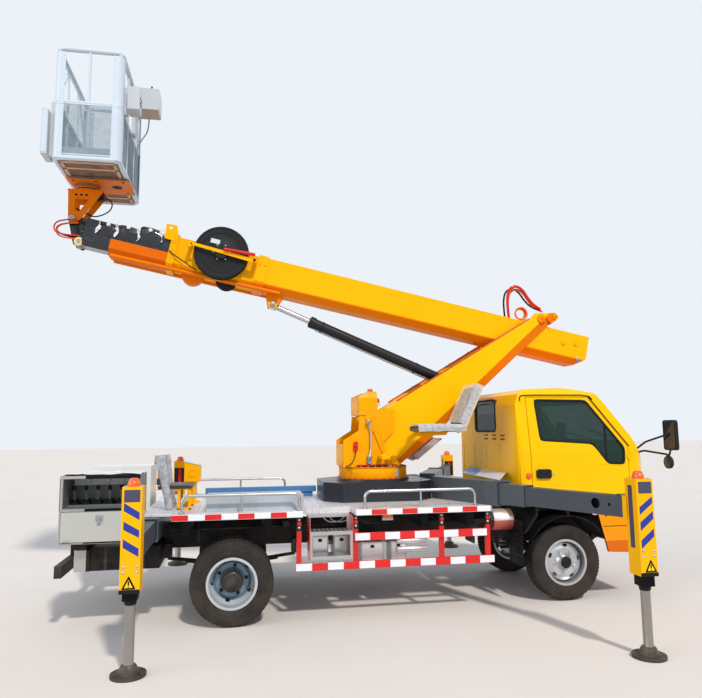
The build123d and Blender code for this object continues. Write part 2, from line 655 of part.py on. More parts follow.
def cab_interior():
    """Dash on two legs, steering column with its wheel, and the floor tunnel."""
    dash = side_plate(((3800, 1200), (3780, 1420), (3860, 1490), (4030, 1475), (4100, 1400),
                       (4120, 1200)), (-640, 640))
    tunnel = side_plate(((2830, 1030), (2830, 1230), (3480, 1230), (3560, 1030)), (-170, 170))
    column = rod((3830, 400, 1330), (3640, 400, 1560), 24)
    legs = both(box((3860, 3900), (480, 560), (900, 1205)))
    wheel = Pos(3640, 400, 1560) * Rotation(0, -40, 0) * (Torus(190, 14) + Cylinder(40, 30))
    spokes = Pos(3640, 400, 1560) * Rotation(0, -40, 0) * (Box(370, 30, 10) + Box(30, 370, 10))
    return apart([dash, legs, join([column, wheel, spokes]), tunnel])


def cab_seats():
    """Driver's seat and a double seat beside it."""
    parts = []
    for y0, y1 in ((195, 690), (-780, -195)):
        cushion = box((3000, 3470), (y0, y1), (1240, 1370))
        base = box((3040, 3420), (y0 + 40, y1 - 40), (1030, 1240))
        back = side_plate(((2960, 1330), (3080, 1370), (3000, 1900), (2880, 1900)), (y0, y1))
        parts.append(join([cushion, base, back]))
    return parts


def bumper():
    """Wrap-round step bumper with a grille opening."""
    solid = side_plate(BUMPER_SIDE, (-BUMPER_Y, BUMPER_Y))
    core = side_plate(((3500, 900), (3500, 440), (4000, 440), (4150, 500), (4186, 560), (4186, 900)),
                      (-BUMPER_Y + 26, BUMPER_Y - 26))
    slot = box((4100, 4300), (-420, 420), (600, 700))
    lamp = box((4190, 4300), (520, 700), (600, 720))
    return solid - core - slot - lamp - mirror_y(lamp)


def liner():
    """Black wheel-arch liner with its flap."""
    outer = Pos(WHEELBASE, 0, TYRE_R) * Rotation(90, 0, 0) * Cylinder(LINER_R[1], 2 * LINER_Y[1])
    inner = Pos(WHEELBASE, 0, TYRE_R) * Rotation(90, 0, 0) * Cylinder(LINER_R[0], 2000)
    ring = outer - inner - box((WHEELBASE - 1300, WHEELBASE + 1200), (-LINER_Y[0], LINER_Y[0]), (-200, 1200))
    ring -= box((WHEELBASE - 1300, WHEELBASE + 1200), (-LINER_Y[1] - 64, LINER_Y[1] + 64), (-200, 610))
    hooks = both(box((3290, 3310), (400, 420), (834, 860)))
    shelf = both(box((2900, 3560), (LINER_Y[0], LINER_Y[1]), (975, 1000)))
    webs = both(box((3290, 3310), (LINER_Y[0], LINER_Y[1]), (835, 985)))
    flap = both(side_plate(((2813, 677), (2860, 700), (2975, 850), (2975, 980), (2957, 980),
                            (2957, 868)), (560, 836)))
    return ring + hooks + shelf + webs + flap


def mirrors():
    """Door mirrors on tube arms, with the round blind-spot mirror below."""
    head = box((4288, 4322), (MIRROR_Y - 95, MIRROR_Y + 95), (1480, 1780))
    head = fillet(head.edges().filter_by(Axis.X), 30)
    low = Pos(4262, MIRROR_Y, 1362) * Rotation(0, 90, 0) * Cylinder(62, 26)
    upper = bent_tube(((4090, 770, 1455), (4190, 860, 1560), (4276, MIRROR_Y, 1640),
                       (4300, MIRROR_Y, 1660)), 8, 10)
    lower = bent_tube(((4090, 770, 1440), (4175, 850, 1470), (4250, MIRROR_Y, 1440),
                       (4262, MIRROR_Y, 1372)), 8, 10)
    post = rod((4262, MIRROR_Y, 1400), (4298, MIRROR_Y, 1500), 10)
    return both(join([head, low, upper, lower, post]))


def pedestal():
    """Octagonal base on the deck and the bearing ring above it."""
    hx, hy = PEDESTAL_HALF
    c = 180
    octagon = top_plate([(TURN_X + x, y) for x, y in (
        (-hx, -hy + c), (-hx + c, -hy), (hx - c, -hy), (hx, -hy + c), (hx, hy - c), (hx - c, hy),
        (-hx + c, hy), (-hx, hy - c))], PEDESTAL_Z)
    ring = rod((TURN_X, 0, PEDESTAL_Z[1]), (TURN_X, 0, TURN_Z[0] - SEAT_GAP), TURN_R + 25)
    return octagon + ring


def turntable():
    """Drum, mast plates, hood and the pins they carry."""
    drum = rod((TURN_X, 0, TURN_Z[0]), (TURN_X, 0, TURN_Z[1]), TURN_R)
    plate = side_plate(MAST_PLATE, MAST_Y)
    rib = side_plate(((1640, 1325), (1600, 1325), (1440, 1700), (1470, 1700)), (250, 268))
    back = box((1124, 1140), (-226, 226), (1325, 1560))
    low, high = HOOD_Z
    shape = ((-250, low), (-250, high - 70), (-232, high - 22), (-180, high), (180, high),
             (232, high - 22), (250, high - 70), (250, low))
    hollow = ((-226, low - 5), (-226, high - 66), (-212, high - 32), (-170, high - 16),
              (170, high - 16), (212, high - 32), (226, high - 66), (226, low - 5))
    hood = front_plate(shape, HOOD_X) - front_plate(hollow, (HOOD_X[0] + 16, HOOD_X[1] + 10))
    hood -= side_plate(((1280, 2050), (1296, 2070), (1420, 2119), (1280, 2130)), (-300, 300))
    lamp = rod((1466, 0, 2110), (1466, 0, 2158), 28)
    pivot = both(cross_rod(LOWER_PIVOT, (222, 262), 40)) + cross_rod(
        LOWER_PIVOT, (-262, 262), PIN_R - BEARING_GAP)
    base = cross_rod(LUFF_BASE, (-116, 116), PIN_R - BEARING_GAP)
    bracket = both(side_plate(((1490, 1325), (1530, 1470), (1610, 1480), (1660, 1325)), (100, 116)))
    skirt = join([both(plate), both(rib), back, hood, lamp, pivot, base, bracket, drum])
    return skirt


def operator_seat():
    """Ground-control seat on a bracket beside the lower boom."""
    cushion = box((1800, 2290), (-760, -350), (1680, 1750))
    back = side_plate(((2235, 1750), (2300, 1750), (2500, 2130), (2420, 2140)), (-760, -350))
    arm = side_plate(((1500, 1400), (1490, 1450), (1850, 1680), (2200, 1680), (2200, 1648),
                      (1870, 1640), (1555, 1405)), (-420, -390))
    tube = box((1490, 1540), (-392, -250), (1402, 1448))
    return join([cushion, back, arm, tube])


def lower_boom():
    """Open-topped boom: two cheeks, a floor, a closed root and its pins."""
    cheek = side_plate(LOWER_SIDE, LOWER_Y)
    (ax, az), (bx, bz) = LOWER_FLOOR
    length = math.hypot(bx - ax, bz - az)
    ux, uz = (bx - ax) / length, (bz - az) / length
    lower_edge = (LOWER_SIDE[11], LOWER_SIDE[10], LOWER_SIDE[9])
    for (x0, z0), (x1, z1) in zip(lower_edge, lower_edge[1:]):
        cheek -= bevel(x0, z0, x1, z1)
    floor = side_plate(((ax, az), (bx, bz), (bx - uz * LOWER_PLATE, bz + ux * LOWER_PLATE),
                        (ax - uz * LOWER_PLATE, az + ux * LOWER_PLATE)), (-185, 185))
    x0, x1 = LOWER_TOP_PLATE_X
    z0, z1 = top_of_lower(x0), top_of_lower(x1)
    roof = side_plate(((x0, z0), (x1, z1), (x1, z1 - 12), (x0, z0 - 12)), (-185, 185))
    root = cross_rod(LOWER_PIVOT, (-221, 221), 52)
    pins = [both(cross_rod(LUFF_EYE, (LUFF_EYE_HALF + EYE_CLEAR, 200), PIN_R - BEARING_GAP)),
            cross_rod(UPPER_BASE, (-200, 200), PIN_R - BEARING_GAP),
            cross_rod(ELBOW, (-240, 240), PIN_R - BEARING_GAP)]
    caps = both(cross_rod(ELBOW, (219, 240), 38))
    boom = join([both(cheek), floor, roof, root])
    boom -= cross_rod(LOWER_PIVOT, (-300, 300), PIN_R)
    return join([boom, caps] + pins)


def bevel(x0, z0, x1, z1):
    """Wedge that slants a cheek's outer lower edge inwards along one straight run."""
    length = math.hypot(x1 - x0, z1 - z0)
    ux, uz = (x1 - x0) / length, (z1 - z0) / length
    depth, inset = 100.0, 34.0
    over = 60.0
    start = (x0 - ux * over, z0 - uz * over)
    run = length + 2 * over
    corners = [(start[0] - uz * d, LOWER_Y[1] - i, start[1] + ux * d)
               for d, i in ((-5, inset), (depth, 0), (depth, -20), (-5, -20))]
    face = make_face(Polyline(corners, close=True))
    return extrude(face, amount=run, dir=(ux, 0, uz))


def top_of_lower(x):
    """Height of the lower boom's top edge at an X."""
    (x0, z0), (x1, z1) = LOWER_SIDE[4], LOWER_SIDE[5]
    return z0 + (x - x0) * (z1 - z0) / (x1 - x0)


def cylinder_parts(base, eye, barrel_length, barrel_r, rod_r, base_half, eye_half, inside):
    """Barrel and rod of a cylinder from base to eye in the XZ plane."""
    dx, dz = eye[0] - base[0], eye[1] - base[1]
    length = math.hypot(dx, dz)
    ux, uz = dx / length, dz / length

    def at(s):
        return (base[0] + ux * s, 0, base[1] + uz * s)
    barrel = rod(at(30), at(barrel_length), barrel_r) + rod(at(barrel_length - 60),
                                                            at(barrel_length), barrel_r + 8)
    barrel += cross_rod(base, (-base_half, base_half), barrel_r + 4)
    barrel -= rod(at(70), at(barrel_length - 40), barrel_r - 9)
    barrel -= rod(at(60), at(barrel_length + 10), rod_r + BEARING_GAP)
    barrel -= cross_rod(base, (-300, 300), PIN_R)
    bar = rod(at(inside), at(length - 20), rod_r) + cross_rod(eye, (-eye_half, eye_half), rod_r + 12)
    bar += rod(at(inside), at(inside + 40), barrel_r - 10)
    return barrel, bar


def on_upper(s, h, y=None):
    """A point in the upper boom's own frame: s towards the basket, h above its middle."""
    a = math.radians(UPPER_ANGLE)
    x = UPPER_REF[0] - s * math.cos(a) + h * math.sin(a)
    z = UPPER_REF[1] + s * math.sin(a) + h * math.cos(a)
    return (x, z) if y is None else (x, y, z)


def along_upper(profile, s):
    """A bar with a (Y, H) profile between two places along the upper boom."""
    a = math.radians(UPPER_ANGLE)
    corners = [on_upper(s[0], h, y) for y, h in profile]
    face = make_face(Polyline(corners, close=True))
    return extrude(face, amount=s[1] - s[0], dir=(-math.cos(a), 0, math.sin(a)))


def upper_section(half_y, half_h, bevel_y, bevel_h):
    """Box section with slanted lower corners."""
    return ((-half_y, half_h), (half_y, half_h), (half_y, -half_h + bevel_h),
            (half_y - bevel_y, -half_h), (-half_y + bevel_y, -half_h), (-half_y, -half_h + bevel_h))


def upper_boom():
    """Hollow outer boom with its tail, elbow lug, head collar, channel and cylinder lug."""
    by, bh = UPPER_BEVEL
    w = UPPER_WALL
    outer = along_upper(upper_section(UPPER_HALF_Y, UPPER_HALF_H, by, bh), UPPER_S)
    inner = along_upper(upper_section(UPPER_HALF_Y - w, UPPER_HALF_H - w, by - 4, bh - 4),
                        (UPPER_S[0] + 12, UPPER_S[1] + 20))
    tube = outer - inner
    s0 = UPPER_S[0]
    tail_cut = side_plate([on_upper(s0 - 30, -120), on_upper(s0, -90), on_upper(s0 + 110, -UPPER_HALF_H),
                           on_upper(s0 + 110, -UPPER_HALF_H - 30), on_upper(s0 - 30, -UPPER_HALF_H - 30)],
                          (-300, 300))
    tail_plate = side_plate([on_upper(s0 + 4, -86), on_upper(s0 + 108, -UPPER_HALF_H + 2),
                             on_upper(s0 + 120, -UPPER_HALF_H + 10), on_upper(s0 + 12, -72)], (-105, 105))
    lug = side_plate([on_upper(-1420, 170), on_upper(-1345, 275), on_upper(-1250, 275),
                      on_upper(-1150, 170)], (-150, 150)) - side_plate(
        [on_upper(-1450, 184), on_upper(-1450, 300), on_upper(-1100, 300), on_upper(-1100, 184)],
        (-120, 120))
    collar = along_upper(upper_section(UPPER_HALF_Y + 12, UPPER_HALF_H + 12, by, bh),
                         (UPPER_S[1] - 110, UPPER_S[1])) - along_upper(
        upper_section(UPPER_HALF_Y - 1, UPPER_HALF_H - 1, by, bh), (UPPER_S[1] - 130, UPPER_S[1] + 20))
    neck = along_upper(upper_section(UPPER_HALF_Y - 6, UPPER_HALF_H - 6, by - 8, bh - 8),
                       (UPPER_S[1], NECK_S)) - along_upper(
        upper_section(UPPER_HALF_Y - w, UPPER_HALF_H - w, by - 4, bh - 4),
        (UPPER_S[1] - 10, NECK_S + 20))
    brim = along_upper(upper_section(UPPER_HALF_Y + 6, UPPER_HALF_H + 18, by, bh), (NECK_S - 70, NECK_S))
    neck += brim - along_upper(upper_section(UPPER_HALF_Y - w, UPPER_HALF_H - w, by - 4, bh - 4),
                               (NECK_S - 90, NECK_S + 20))
    hy, hh = FLY_HALF
    place = (NECK_S - 60, NECK_S - 2)
    for low, high in ((-UPPER_HALF_H + w - 2, -hh - SEAT_GAP), (hh + SEAT_GAP, UPPER_HALF_H - w + 2)):
        neck += along_upper(((-70, low), (70, low), (70, high), (-70, high)), place)
    neck += both(along_upper(((hy + SEAT_GAP, -50), (UPPER_HALF_Y - w + 2, -50),
                              (UPPER_HALF_Y - w + 2, 90), (hy + SEAT_GAP, 90)), place))
    tube = tube - tail_cut
    eye = both(side_plate([on_upper(1590, -170), on_upper(1655, -318), on_upper(1735, -318),
                           on_upper(1790, -170)], (62, 80)))
    eye += both(cross_rod(UPPER_EYE, (UPPER_EYE_HALF + EYE_CLEAR, 92), 34))
    channel = along_upper(((-164, -20), (-164, -118), (-100, -184), (100, -184), (164, -118),
                           (164, -20), (155, -20), (155, -113), (96, -175), (-96, -175),
                           (-155, -113), (-155, -20)), (NECK_S, TROUGH_S))
    whole = join([tube, tail_plate, lug, collar, eye])
    whole -= cross_rod(ELBOW, (-300, 300), PIN_R)
    return whole, neck + channel


def fly_boom():
    """Inner boom with its nose plates and roller."""
    hy, hh = FLY_HALF
    by, bh = FLY_BEVEL
    body = along_upper(upper_section(hy, hh, by, bh), FLY_S)
    body -= along_upper(upper_section(hy - 8, hh - 8, by - 4, bh - 4), (FLY_S[0] - 10, FLY_S[1] - 12))
    end = FLY_S[1]
    nose = both(side_plate([on_upper(end - 5, 130), on_upper(end + 150, 158), on_upper(end + 200, 125),
                            on_upper(end + 190, 70), on_upper(end + 90, -150), on_upper(end + 20, -165),
                            on_upper(end - 5, -135)], (60, 76)))
    roller = cross_rod((-1614, 3676), (-60, 60), 48)
    pin = cross_rod(TIP_PIVOT, (-110, 110), PIN_R - BEARING_GAP)
    return join([body, nose, roller, pin])


def tip_bracket():
    """Levelling bracket from the boom's tip up to the swing actuator."""
    plate = side_plate(((-1735, 4215), (-1725, 3915), (-1660, 3862), (-1600, 3915), (-1400, 4200),
                        (-1395, 4215)), (86, 100))
    plate -= side_plate(((-1660, 4130), (-1665, 4000), (-1620, 3990), (-1530, 4130)), (60, 120))
    head = box((-1740, -1380), (-100, 100), (4215, 4235))
    sleeve_ring = both(cross_rod(TIP_PIVOT, (80, 100), 44))
    drum = rod((SWING_X, 0, 4235), (SWING_X, 0, SWING_Z), 130)
    whole = join([both(plate), head, sleeve_ring, drum])
    return whole - cross_rod(TIP_PIVOT, (-300, 300), PIN_R)


def basket_frame():
    """Tube frame of the basket."""
    x0, x1 = BASKET_X[0] + BASKET_TUBE, BASKET_X[1] - BASKET_TUBE
    y = BASKET_Y - BASKET_TUBE
    r = BASKET_TUBE
    rings = []
    for z, radius in ((BASKET_Z[1] - r, r), (BASKET_Z[0] + r, r)):
        loop = Plane.XY.offset(z) * Pos((x0 + x1) / 2, 0) * RectangleRounded(x1 - x0, 2 * y, 70)
        path = loop.wire()
        rings.append(sweep(Plane(origin=path @ 0, z_dir=path % 0) * Circle(radius), path=path))
    rods = []
    low, high = BASKET_Z[0] + r, BASKET_Z[1] - r
    corner = POST_IN
    for px in (x0 + corner, x1 - corner):
        for py in (-y + corner, y - corner):
            rods.append(rod((px, py, low), (px, py, high), r))
    mx = (x0 + x1) / 2
    for py in (-y, y):
        rods.append(rod((x0, py, BASKET_MID), (x1, py, BASKET_MID), MID_TUBE))
        rods.append(rod((mx, py, BASKET_MID), (mx, py, high), 13))
    for px in (x0, x1):
        rods.append(rod((px, -y, BASKET_MID), (px, y, BASKET_MID), MID_TUBE))
        for py in (-y / 3, y / 3):
            rods.append(rod((px, py, low), (px, py, high), 13))
        rods.append(rod((px, y / 3, high), (px, y - corner, BASKET_MID), 12))
        rods.append(rod((px, -y / 3, high), (px, -y + corner, BASKET_MID), 12))
    return join(rings + rods)


def basket_floor():
    """Floor tray on two bearers, with the mounting plate below it."""
    x0, x1 = BASKET_X
    tx, ty, cut = x1 - 50 - BASKET_CX, BASKET_Y - 50, 45
    tray = top_plate([(BASKET_CX + sx * dx, sy * dy) for sx, sy, dx, dy in (
        (1, 1, tx, ty - cut), (1, 1, tx - cut, ty), (-1, 1, tx - cut, ty), (-1, 1, tx, ty - cut),
        (-1, -1, tx, ty - cut), (-1, -1, tx - cut, ty), (1, -1, tx - cut, ty), (1, -1, tx, ty - cut))],
        (4338, 4360))
    plate = box((-1710, x1 + 10), (-210, 210), (4306, 4329))
    bearers = [box((x0 + 60, x1 - 60), (y - 15, y + 15), (4329, 4338)) for y in (-180, 0, 180)]
    hub = rod((SWING_X, 0, SWING_Z + SEAT_GAP), (SWING_X, 0, 4306), 118)
    return join([tray, plate, hub] + bearers)


def basket_panels():
    """Lower infill panels between the corner posts, 2 mm outside the posts' middles."""
    reach = 2 * BASKET_TUBE + POST_IN
    half_x = (BASKET_X[1] - BASKET_X[0]) / 2 - reach - SEAT_GAP / 2
    half_y = BASKET_Y - reach - SEAT_GAP / 2
    px, py = half_x + BASKET_TUBE + 2, half_y + BASKET_TUBE + 2
    long = box((BASKET_CX - half_x, BASKET_CX + half_x), (py, py + 3), PANEL_Z)
    return [long, mirror_y(long), box((BASKET_CX + px, BASKET_CX + px + 3), (-half_y, half_y), PANEL_Z),
            box((BASKET_CX - px - 3, BASKET_CX - px), (-half_y, half_y), PANEL_Z)]


def basket_console():
    """Control console on the inner long side and the document panel on the outer one."""
    inner, outer = BASKET_X[1], BASKET_X[0]
    low, high = BASKET_Z
    seat = BASKET_TUBE - MID_TUBE - SEAT_GAP
    console = box((inner + 28, inner + 276), (-120, 120), (high - 340, high - 100))
    hook = box((inner - seat, inner + 28), (-60, 60), (BASKET_MID - 25, high - 55))
    small = box((inner + 28, inner + 141), (-560, -380), (BASKET_MID + 5, BASKET_MID + 245))
    hook_2 = box((inner - seat, inner + 28), (-500, -440), (BASKET_MID - 35, BASKET_MID + 255))
    panel = box((outer - 105, outer - 45), (-600, -380), (low + 60, BASKET_MID - 75))
    hook_3 = box((outer - 45, outer + seat), (-520, -460), (low + 70, BASKET_MID + 35))
    return [join([console, hook]), join([small, hook_2]), join([panel, hook_3])]


def rear_station():
    """Rear control box with levers, the wrapped box opposite and the rear seat."""
    near = box((-1470, -802), (-950, -560), (760, 1338))
    near -= box((-1440, -830), (-960, -620), (1060, 1310))
    levers = [rod((-1400 + 100 * i, -700, 1060), (-1392 + 100 * i, -760, 1210), 10) for i in range(6)]
    bench = box((-1440, -830), (-760, -640), (1040, 1070))
    door = box((-1450, -820), (-958, -950), (780, 1030))
    far = box((-1490, -880), (350, 850), (760, 1345))
    return join([near, bench, door] + levers), far


def rear_seat():
    """Rear seat with its open back on four legs."""
    cushion = box((-700, -376), (-640, -240), (1176, 1206))
    back = side_plate(((-700, 1200), (-640, 1200), (-620, 1486), (-740, 1486)), (-640, -240))
    back -= side_plate(((-760, 1290), (-560, 1290), (-560, 1400), (-760, 1400)), (-560, -320))
    legs = [box((x - 12, x + 12), (y - 12, y + 12), (985, 1180))
            for x in (-500, -400) for y in (-600, -280)]
    ties = [box((-512, -388), (y - 12, y + 12), (985, 1000)) for y in (-600, -280)]
    return join([cushion, back] + legs + ties)


def boom_rest():
    """Upright rest for the stowed boom."""
    post = box((-490, -345), (-50, 50), (985, 1200))
    head = side_plate(((-498, 1200), (-337, 1200), (-337, 1360), (-498, 1400)), (-90, 90))
    head -= cross_rod((-418, 1290), (-200, 200), 28)
    return post + head


save("frame_rails", *frame_rails())
save("axles", *axles())
save("engine_block", engine_block())
save("deck", deck())
save("deck_rails", hoop_rails())
save("side_guards", side_guards(), step(RIGHT), step(LEFT))
save("side_boxes", storage_boxes(), rear_tank())
save("outrigger_sleeves", sleeve(RIGHT), sleeve(LEFT), rear_sleeve())
save("pedestal", pedestal())
save("rear_boxes", *rear_station())
save("rear_seat", rear_seat(), boom_rest())
save("deck_boxes", box((-239, 646), (-850, -480), (985, 1122)), box((-300, 895), (260, 330), (1040, 1100))
     + box((-280, 860), (280, 310), (985, 1040)))

shell, fixed_glass, door_left, door_left_glass = cab_parts()
save("cab_shell", shell)
save("cab_glass", fixed_glass)
save("cab_dash", *cab_interior())
save("cab_seats", *cab_seats())
save("front_bumper", bumper())
save("wheel_liners", liner())
save("mirrors", mirrors())
for side, word in ((RIGHT, "right"), (LEFT, "left")):
    flip = mirror_y if side == RIGHT else (lambda shape: shape)
    save("door_" + word, flip(door_left))
    save("door_glass_" + word, flip(door_left_glass))
    front_tyre, front_rim = front_wheel(side)
    rear_tyres, rear_rims = rear_wheels(side)
    save("tyre_front_" + word, front_tyre)
    save("rim_front_" + word, front_rim)
    save("tyres_rear_" + word, rear_tyres)
    save("rims_rear_" + word, rear_rims)
    save("knuckle_" + word, flip(knuckle()))
    save("stage_front_" + word, front_stage(side))
    save("beam_front_" + word, front_beam(side))
    save("beam_rear_" + word, rear_beam(side))
    save("jack_front_" + word, jack(LEG_FRONT[0], LEG_FRONT[1], side))
    save("jack_rear_" + word, jack(LEG_REAR[0], LEG_REAR[1], side))

save("turntable", turntable())
save("operator_seat", operator_seat())
save("lower_boom", lower_boom())
luff_barrel, luff_rod = cylinder_parts(LUFF_BASE, LUFF_EYE, 800, 58, 32, 90, LUFF_EYE_HALF, 130)
save("luff_barrel", luff_barrel)
save("luff_rod", luff_rod)
outer_boom, neck = upper_boom()
save("upper_boom", outer_boom)
save("boom_neck", neck)
upper_barrel, upper_rod = cylinder_parts(UPPER_BASE, UPPER_EYE, 1750, 56, 31, 90, UPPER_EYE_HALF, 390)
save("upper_barrel", upper_barrel)
save("upper_rod", upper_rod)
save("hose_reel", cross_rod(REEL, (-250, -185), REEL_R) + cross_rod(REEL, (-290, -164), 70))
save("fly_boom", fly_boom())
save("tip_bracket", tip_bracket())
save("basket_frame", basket_frame())
save("basket_floor", basket_floor())
save("basket_panels", *basket_panels())
save("basket_console", *basket_console())
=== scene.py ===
from math import atan2, cos, exp, pi, radians, sin, tau

import bmesh
import bpy
from mathutils import Matrix, Vector, noise


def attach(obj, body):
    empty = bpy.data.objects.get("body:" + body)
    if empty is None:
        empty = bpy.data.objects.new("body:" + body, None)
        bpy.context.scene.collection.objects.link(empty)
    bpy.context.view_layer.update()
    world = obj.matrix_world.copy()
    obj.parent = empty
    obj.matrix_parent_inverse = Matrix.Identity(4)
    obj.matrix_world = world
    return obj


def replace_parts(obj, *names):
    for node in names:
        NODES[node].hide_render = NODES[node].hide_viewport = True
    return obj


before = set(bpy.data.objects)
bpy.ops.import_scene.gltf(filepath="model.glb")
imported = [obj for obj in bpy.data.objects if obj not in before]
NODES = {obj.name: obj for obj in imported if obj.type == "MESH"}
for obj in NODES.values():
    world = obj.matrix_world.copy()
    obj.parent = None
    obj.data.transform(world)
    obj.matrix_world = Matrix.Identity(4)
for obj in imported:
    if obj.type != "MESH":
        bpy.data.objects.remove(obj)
noise.seed_set(5)
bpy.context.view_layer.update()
X, Y, Z = (1, 0, 0), (0, 1, 0), (0, 0, 1)
SIDES = ((-1, "right"), (1, "left"))
# In metres from the rear axle's middle on the road, where the frame's origin lies at X_ORIGIN
X_ORIGIN, WHEELBASE, TYRE_R = 1.221, 3.3, 0.371
MAST_X, BASKET_X, DECK_TOP = 1.483, -1.4505, 0.985
LEGS = (("front", 3.10, 2.324), ("rear", -0.71, 1.931))
BOOM_FOOT = (2.105, 2.985)


def P(x, y, z):
    """A point given from the rear axle's middle on the road."""
    return Vector((x - X_ORIGIN, y, z))


BOOM_ANGLE = radians(12.2)
BOOM_U = Vector((-cos(BOOM_ANGLE), 0, sin(BOOM_ANGLE)))
BOOM_N = Vector((sin(BOOM_ANGLE), 0, cos(BOOM_ANGLE)))


def B(s, y, h):
    """A point on the upper boom: s towards the basket, h above its middle."""
    return P(BOOM_FOOT[0], y, BOOM_FOOT[1]) + BOOM_U * s + BOOM_N * h


def link(obj):
    bpy.context.scene.collection.objects.link(obj)


# Camera
YAW, PITCH, ROLL = (radians(a) for a in (10.04, 7.09, -0.54))
CAMERA_AT = P(0.033, -6.918, 1.724)
FOCAL_PIXELS, WIDE_PIXELS, SENSOR_MM = 639.9, 702, 36
ahead = Vector((sin(YAW), cos(YAW), 0))
side_way = Vector((cos(YAW), -sin(YAW), 0))
up = Vector(Z)
look = ahead * cos(PITCH) + up * sin(PITCH)
tilted = up * cos(PITCH) - ahead * sin(PITCH)
cam_x = side_way * cos(ROLL) + tilted * sin(ROLL)
cam_y = tilted * cos(ROLL) - side_way * sin(ROLL)
cam = bpy.data.objects.new("camera", bpy.data.cameras.new("camera"))
cam.matrix_world = Matrix.Translation(CAMERA_AT) @ Matrix(
    (cam_x, cam_y, -look)).transposed().to_4x4()
cam.data.lens = FOCAL_PIXELS / WIDE_PIXELS * SENSOR_MM
cam.data.clip_end = 200
link(cam)
bpy.context.scene.camera = cam


# Materials
def rgb(r, g, b):
    """Linear colour from display values of 0 to 255."""
    return tuple(((c / 255 + 0.055) / 1.055) ** 2.4 if c > 10 else c / 255 / 12.92 for c in (r, g, b))


NOISE_ROUGH = 0.55


class Shade:
    """A node tree with short calls for the nodes that the materials share."""

    def __init__(self, name):
        self.mat = bpy.data.materials.new(name)
        self.mat.use_nodes = True
        self.tree = self.mat.node_tree
        self.tree.nodes.clear()
        coords = self.new("ShaderNodeTexCoord")
        self.local = coords.outputs["Object"]
        self.normal = coords.outputs["Normal"]
        self.cad = self.vec("ADD", self.local, (X_ORIGIN, 0, 0))

    def new(self, kind, **props):
        node = self.tree.nodes.new(kind)
        for key, value in props.items():
            setattr(node, key, value)
        return node

    def put(self, socket, value):
        if isinstance(value, bpy.types.NodeSocket):
            self.tree.links.new(value, socket)
        elif hasattr(value, "__len__") and socket.type == "RGBA" and len(value) == 3:
            socket.default_value = (*value, 1)
        else:
            socket.default_value = value

    def maths(self, op, *values, clamp=False):
        node = self.new("ShaderNodeMath", operation=op, use_clamp=clamp)
        for socket, value in zip(node.inputs, values):
            self.put(socket, value)
        return node.outputs[0]

    def vec(self, op, a, b=None):
        node = self.new("ShaderNodeVectorMath", operation=op)
        self.put(node.inputs[0], a)
        if b is not None:
            self.put(node.inputs[1], b)
        return node.outputs["Value" if op in ("DOT_PRODUCT", "LENGTH") else "Vector"]

    def noise(self, scale, detail=4.0, stretch=None, offset=0.0):
        at = self.local
        if stretch:
            at = self.vec("MULTIPLY", at, stretch)
        if offset:
            at = self.vec("ADD", at, (offset, offset * 0.7, offset * 1.3))
        node = self.new("ShaderNodeTexNoise")
        self.put(node.inputs["Vector"], at)
        node.inputs["Scale"].default_value = scale
        node.inputs["Detail"].default_value = detail
        node.inputs["Roughness"].default_value = NOISE_ROUGH
        return node.outputs["Fac"]

    def span(self, value, low, high, to_low=0.0, to_high=1.0):
        node = self.new("ShaderNodeMapRange", clamp=True)
        for socket, v in zip(node.inputs, (value, low, high, to_low, to_high)):
            self.put(socket, v)
        return node.outputs[0]

    def mix(self, fac, a, b):
        node = self.new("ShaderNodeMix", data_type="RGBA")
        for key, value in (("Factor_Float", fac), ("A_Color", a), ("B_Color", b)):
            self.put(next(s for s in node.inputs if s.identifier == key), value)
        return next(s for s in node.outputs if s.identifier == "Result_Color")

    def mask(self, tests):
        """1 where every test holds. Tests are in metres from the rear axle."""
        total = None
        for test in tests:
            kind = test[0]
            if kind == "dir":
                along = self.vec("DOT_PRODUCT", self.cad, test[1])
                got = self.maths("MULTIPLY", self.maths("GREATER_THAN", along, test[2]),
                    self.maths("LESS_THAN", along, test[3]))
            elif kind == "stripe":
                along = self.vec("DOT_PRODUCT", self.cad, test[1])
                turn = self.maths("FRACT", self.maths("ADD", self.maths("DIVIDE", along, test[2]), test[4]))
                got = self.maths("LESS_THAN", turn, test[3])
            elif kind == "ring":
                off = self.vec("MULTIPLY", self.vec("SUBTRACT", self.cad, test[1]), test[2])
                far = self.vec("LENGTH", off)
                got = self.maths("MULTIPLY", self.maths("GREATER_THAN", far, test[3]),
                    self.maths("LESS_THAN", far, test[4]))
            elif kind == "facing":
                got = self.maths("GREATER_THAN", self.vec("DOT_PRODUCT", self.normal, test[1]), test[2])
            total = got if total is None else self.maths("MULTIPLY", total, got)
        return total

    def heights(self, entries):
        """Sum of bump heights in metres: (kind, ...) rows."""
        total = None
        for e in entries:
            if e[0] == "noise":
                got = self.maths("MULTIPLY", self.noise(e[1], e[3] if len(e) > 3 else 4), e[2])
            else:
                along = self.vec("DOT_PRODUCT", self.cad, e[1])
                turn = self.maths("PINGPONG", along, e[2] / 2)
                got = self.maths("MULTIPLY", self.span(turn, e[2] * 0.16, e[2] * 0.26), e[3])
            total = got if total is None else self.maths("ADD", total, got)
        return total


